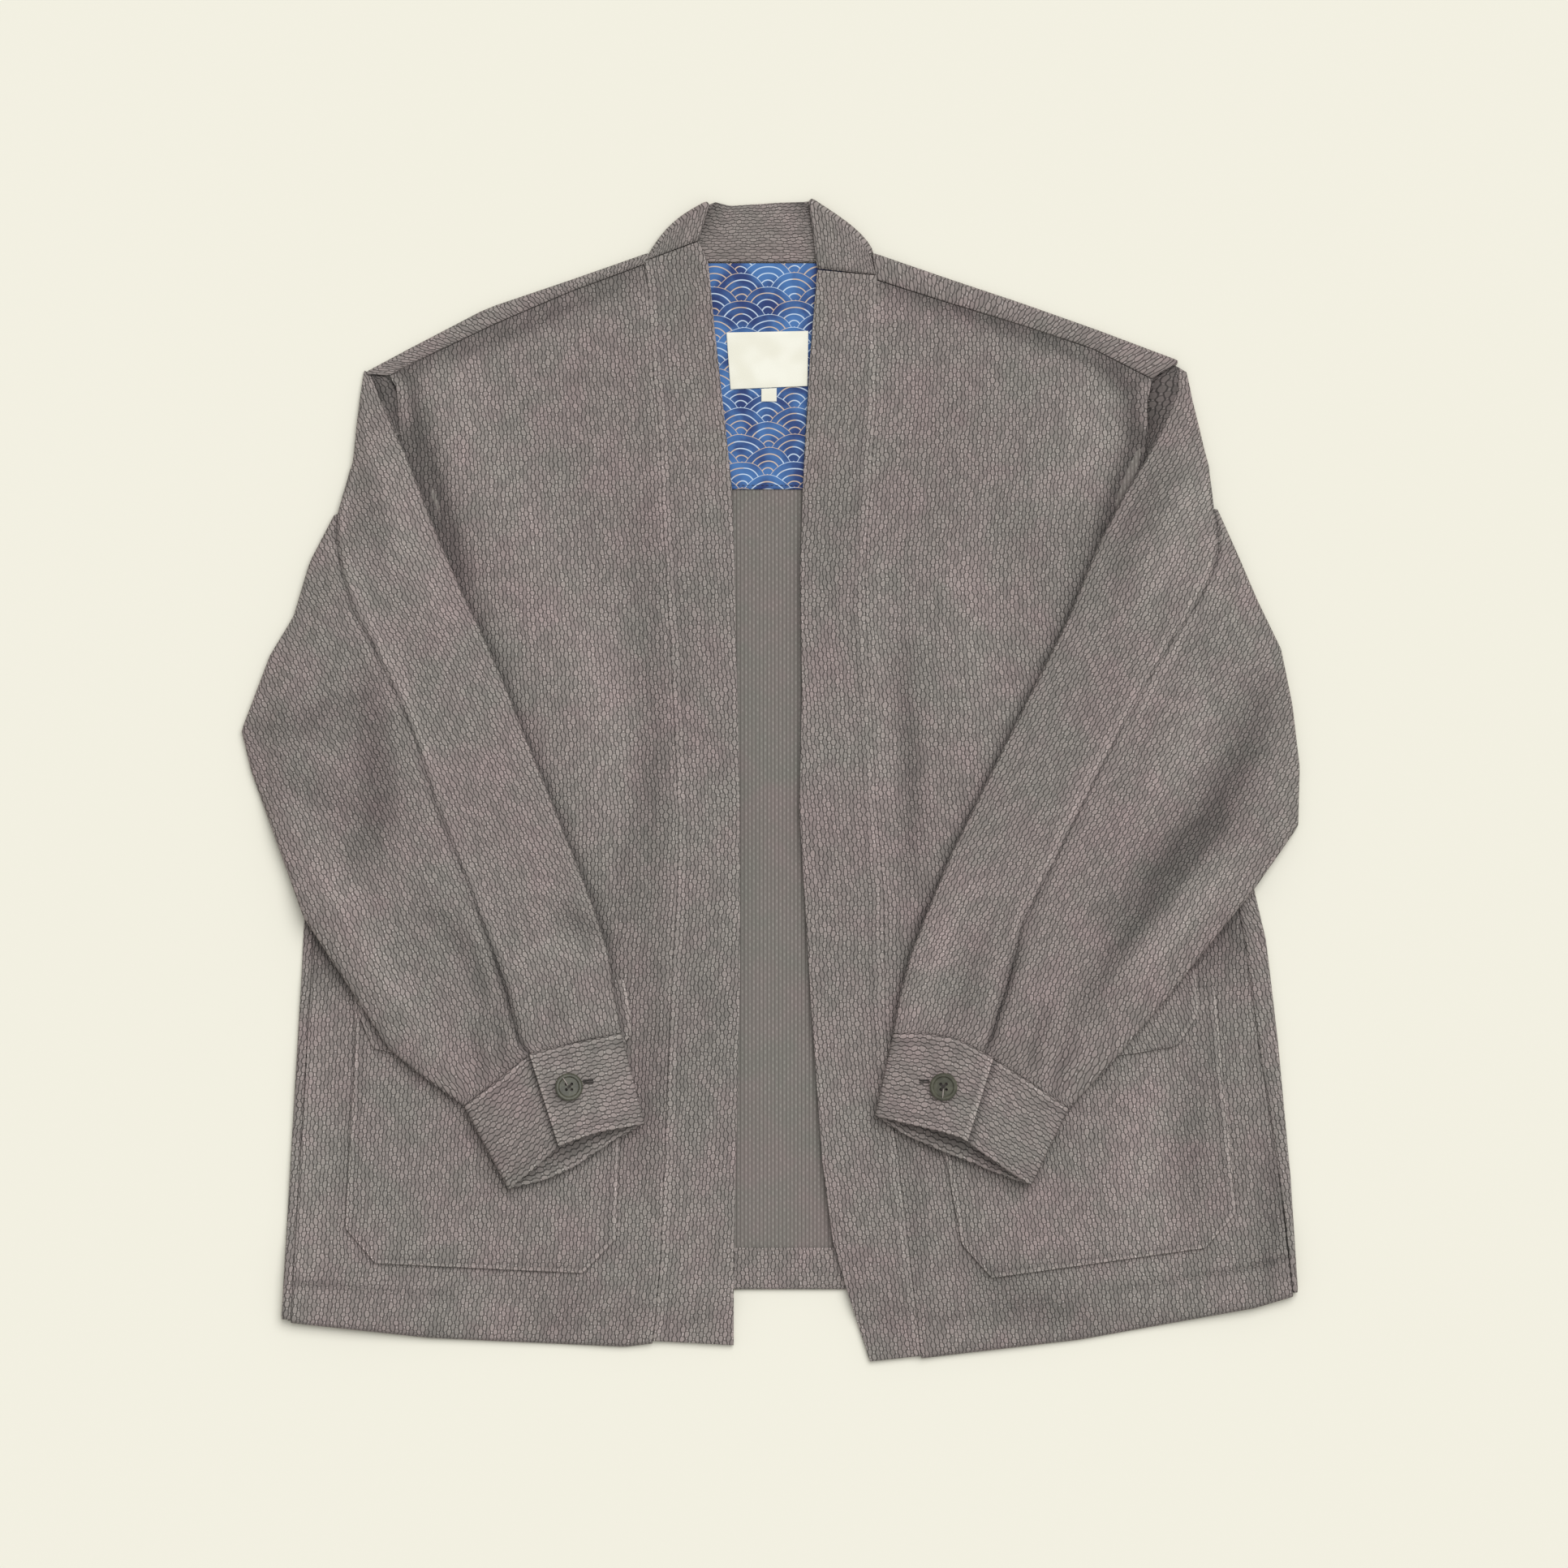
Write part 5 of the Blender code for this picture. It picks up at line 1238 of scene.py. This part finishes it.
def make_buttons():
    """Finish for the two buttons, their crossed threads and the worked buttonholes."""
    m = materials()
    for side, cx, cy, table in (("left", -129.0, -195.8, CUFF_L), ("right", 110.2, -195.8, CUFF_R)):
        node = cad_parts["button_" + side]
        node.data.materials.clear()
        node.data.materials.append(m["shell"])
        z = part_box("button_" + side)[1].z * 1000 - 2.4
        marks = []
        for a in (0.78, -0.78):
            d = np.array([math.cos(a), math.sin(a)])
            for k in (-0.4, 0.4):
                at = (cx - d[1] * k, cy + d[0] * k, z + 0.3 + 0.15 * (a > 0))
                marks.append((at, (d[0], d[1], 0.0), 5.4))
        stitch_row("button_threads_" + side, marks, 0.42, m["dark"])
        # A short pale capsule of grey thread from the button's middle to its rim, for a pale streak
        # across the button.
        ray = (-0.55, 0.84) if side == "left" else (-0.08, -1.0)
        pale_streak = [((cx + ray[0] * 4.2, cy + ray[1] * 4.2, z + 2.35), (*ray, 0.0), 6.8)]
        stitch_row("pale_streak_" + side, pale_streak, 0.42, m["thread"])
        sign = 1 if side == "left" else -1
        u = np.linspace(0.02, 0.6, 60)
        turns = CUFF_WAY[:7][::-1]
        lap = np.interp(u, [w[0] for w in turns], [w[2] for w in turns])
        on = cuff_point(table, u, np.ones_like(u), lap, np.full_like(u, 0.45))
        marks = []
        for k in range(11):
            for off in (-0.75, 0.75):
                x, y = cx + sign * (9.2 + 0.62 * k), cy + 3.4 + off
                near = np.argmin(np.abs(on[:, 0] - x))
                marks.append(((x, y, on[near][2] + CUFF / 2), (0.1, 1.0, 0.0), 1.5))
        stitch_row("buttonhole_" + side, marks, 0.3, m["dark"])


def make_stage():
    """Plain pale floor, soft light from above and the camera straight above, as in the photo."""
    bm = bmesh.new()
    under = Matrix.Translation((0, 0, -0.0001))
    bmesh.ops.create_grid(bm, x_segments=2, y_segments=2, size=4.0, matrix=under)
    mesh = bpy.data.meshes.new("floor")
    bm.to_mesh(mesh)
    bm.free()
    ground = added("floor", mesh)
    g = Graph("pale_floor", 0.95)
    pos = g.position()
    n = g.noise(pos, 2.0, 1.0)
    g.colour(g.mix(n, rgb(243, 241, 227), rgb(244, 242, 229)))
    mesh.materials.append(g.mat)
    lamp = bpy.data.lights.new("soft_sun", "SUN")
    lamp.angle, lamp.energy = LIGHT_SPREAD, opts().light_strength
    key = added("soft_sun", lamp)
    side = Vector(LIGHT_FROM)
    key.location = side.normalized() * 6.0
    key.rotation_euler = side.to_track_quat("Z", "Y").to_euler()
    world = bpy.data.worlds.new("studio")
    world.use_nodes = True
    world.node_tree.nodes["Background"].inputs[0].default_value = (1.0, 0.99, 0.965, 1)
    world.node_tree.nodes["Background"].inputs[1].default_value = SKY
    bpy.context.scene.world = world
    bpy.context.scene.view_settings.view_transform = "Standard"
    cam = bpy.data.cameras.new("camera")
    cam.sensor_width, cam.lens, cam.clip_start, cam.clip_end = 36.0, LENS, 0.1, 40.0
    eye = added("camera", cam)
    eye.location = CAMERA_AT
    bpy.context.scene.camera = eye


class GARMENT_OT_panels(bpy.types.Operator):
    """Back and both fronts with their turned hems"""
    bl_idname = "garment.panels"
    bl_label = "Back and fronts"

    def execute(self, context):
        make_back()
        make_front("left", SEAM_L, HEM_L, SIDE_L, ARM_L, YOKE_L, -1)
        make_front("right", SEAM_R, HEM_R, SIDE_R, ARM_R, YOKE_R, 1)
        return {"FINISHED"}


class GARMENT_OT_bands(bpy.types.Operator):
    """Front bands and the neck band with its folded corners"""
    bl_idname = "garment.bands"
    bl_label = "Bands"

    def execute(self, context):
        make_band("left", SEAM_L, OPEN_L, CROSS_L, -1)
        make_band("right", SEAM_R, OPEN_R, CROSS_R, 1)
        make_neck()
        return {"FINISHED"}


class GARMENT_OT_inside(bpy.types.Operator):
    """Printed facing, bare label and bare size tab"""
    bl_idname = "garment.inside"
    bl_label = "Facing and labels"

    def execute(self, context):
        make_inside()
        return {"FINISHED"}


class GARMENT_OT_pockets(bpy.types.Operator):
    """Patch pockets and their flaps"""
    bl_idname = "garment.pockets"
    bl_label = "Pockets"

    def execute(self, context):
        make_pocket("patch_pocket_left", "pocket_left", POCKET_L, 1.95)
        make_pocket("patch_pocket_right", "pocket_right", POCKET_R, 1.95)
        make_pocket("flap_left", "pocket_flap_left", FLAP_L, 3.75)
        make_pocket("flap_right", "pocket_flap_right", FLAP_R, 3.75)
        return {"FINISHED"}


class GARMENT_OT_sleeves(bpy.types.Operator):
    """Both lengths of each sleeve, folded over the fronts"""
    bl_idname = "garment.sleeves"
    bl_label = "Sleeves"

    def execute(self, context):
        for piece in ("upper", "under"):
            make_sleeve(piece, "left", SLEEVE_L, CUFF_L, SLEEVE_FOLDS_L, -1)
            make_sleeve(piece, "right", SLEEVE_R, CUFF_R, SLEEVE_FOLDS_R, 1)
        return {"FINISHED"}


class GARMENT_OT_cuffs(bpy.types.Operator):
    """Lapped cuffs with open mouths"""
    bl_idname = "garment.cuffs"
    bl_label = "Cuffs"

    def execute(self, context):
        make_cuff("left", CUFF_L)
        make_cuff("right", CUFF_R)
        return {"FINISHED"}


class GARMENT_OT_sewing(bpy.types.Operator):
    """Hem stitches, buttons, their threads and the buttonholes"""
    bl_idname = "garment.sewing"
    bl_label = "Stitches and buttons"

    def execute(self, context):
        make_stitching()
        make_buttons()
        return {"FINISHED"}


class GARMENT_OT_stage(bpy.types.Operator):
    """Floor, soft light and camera"""
    bl_idname = "garment.stage"
    bl_label = "Stage"

    def execute(self, context):
        make_stage()
        return {"FINISHED"}


OPERATORS = (GARMENT_OT_panels, GARMENT_OT_bands, GARMENT_OT_inside, GARMENT_OT_pockets,
             GARMENT_OT_sleeves, GARMENT_OT_cuffs, GARMENT_OT_sewing, GARMENT_OT_stage)


class GARMENT_PT_panel(bpy.types.Panel):
    """Lists the jacket's pieces and settings"""
    bl_idname = "GARMENT_PT_panel"
    bl_label = "Sashiko jacket"
    bl_space_type = "VIEW_3D"
    bl_region_type = "UI"
    bl_category = "Garment"

    def draw(self, context):
        for name in JacketSettings.__annotations__:
            self.layout.prop(context.scene.jacket_settings, name)
        for op in OPERATORS:
            self.layout.operator(op.bl_idname)


def register():
    for c in (JacketSettings, *OPERATORS, GARMENT_PT_panel):
        bpy.utils.register_class(c)
    bpy.types.Scene.jacket_settings = bpy.props.PointerProperty(type=JacketSettings)


def unregister():
    del bpy.types.Scene.jacket_settings
    for c in (GARMENT_PT_panel, *reversed(OPERATORS), JacketSettings):
        bpy.utils.unregister_class(c)


def main():
    register()
    bpy.ops.garment.panels()
    bpy.ops.garment.bands()
    bpy.ops.garment.inside()
    bpy.ops.garment.pockets()
    bpy.ops.garment.sleeves()
    bpy.ops.garment.cuffs()
    bpy.ops.garment.sewing()
    bpy.ops.garment.stage()


if __name__ == "__main__":
    main()
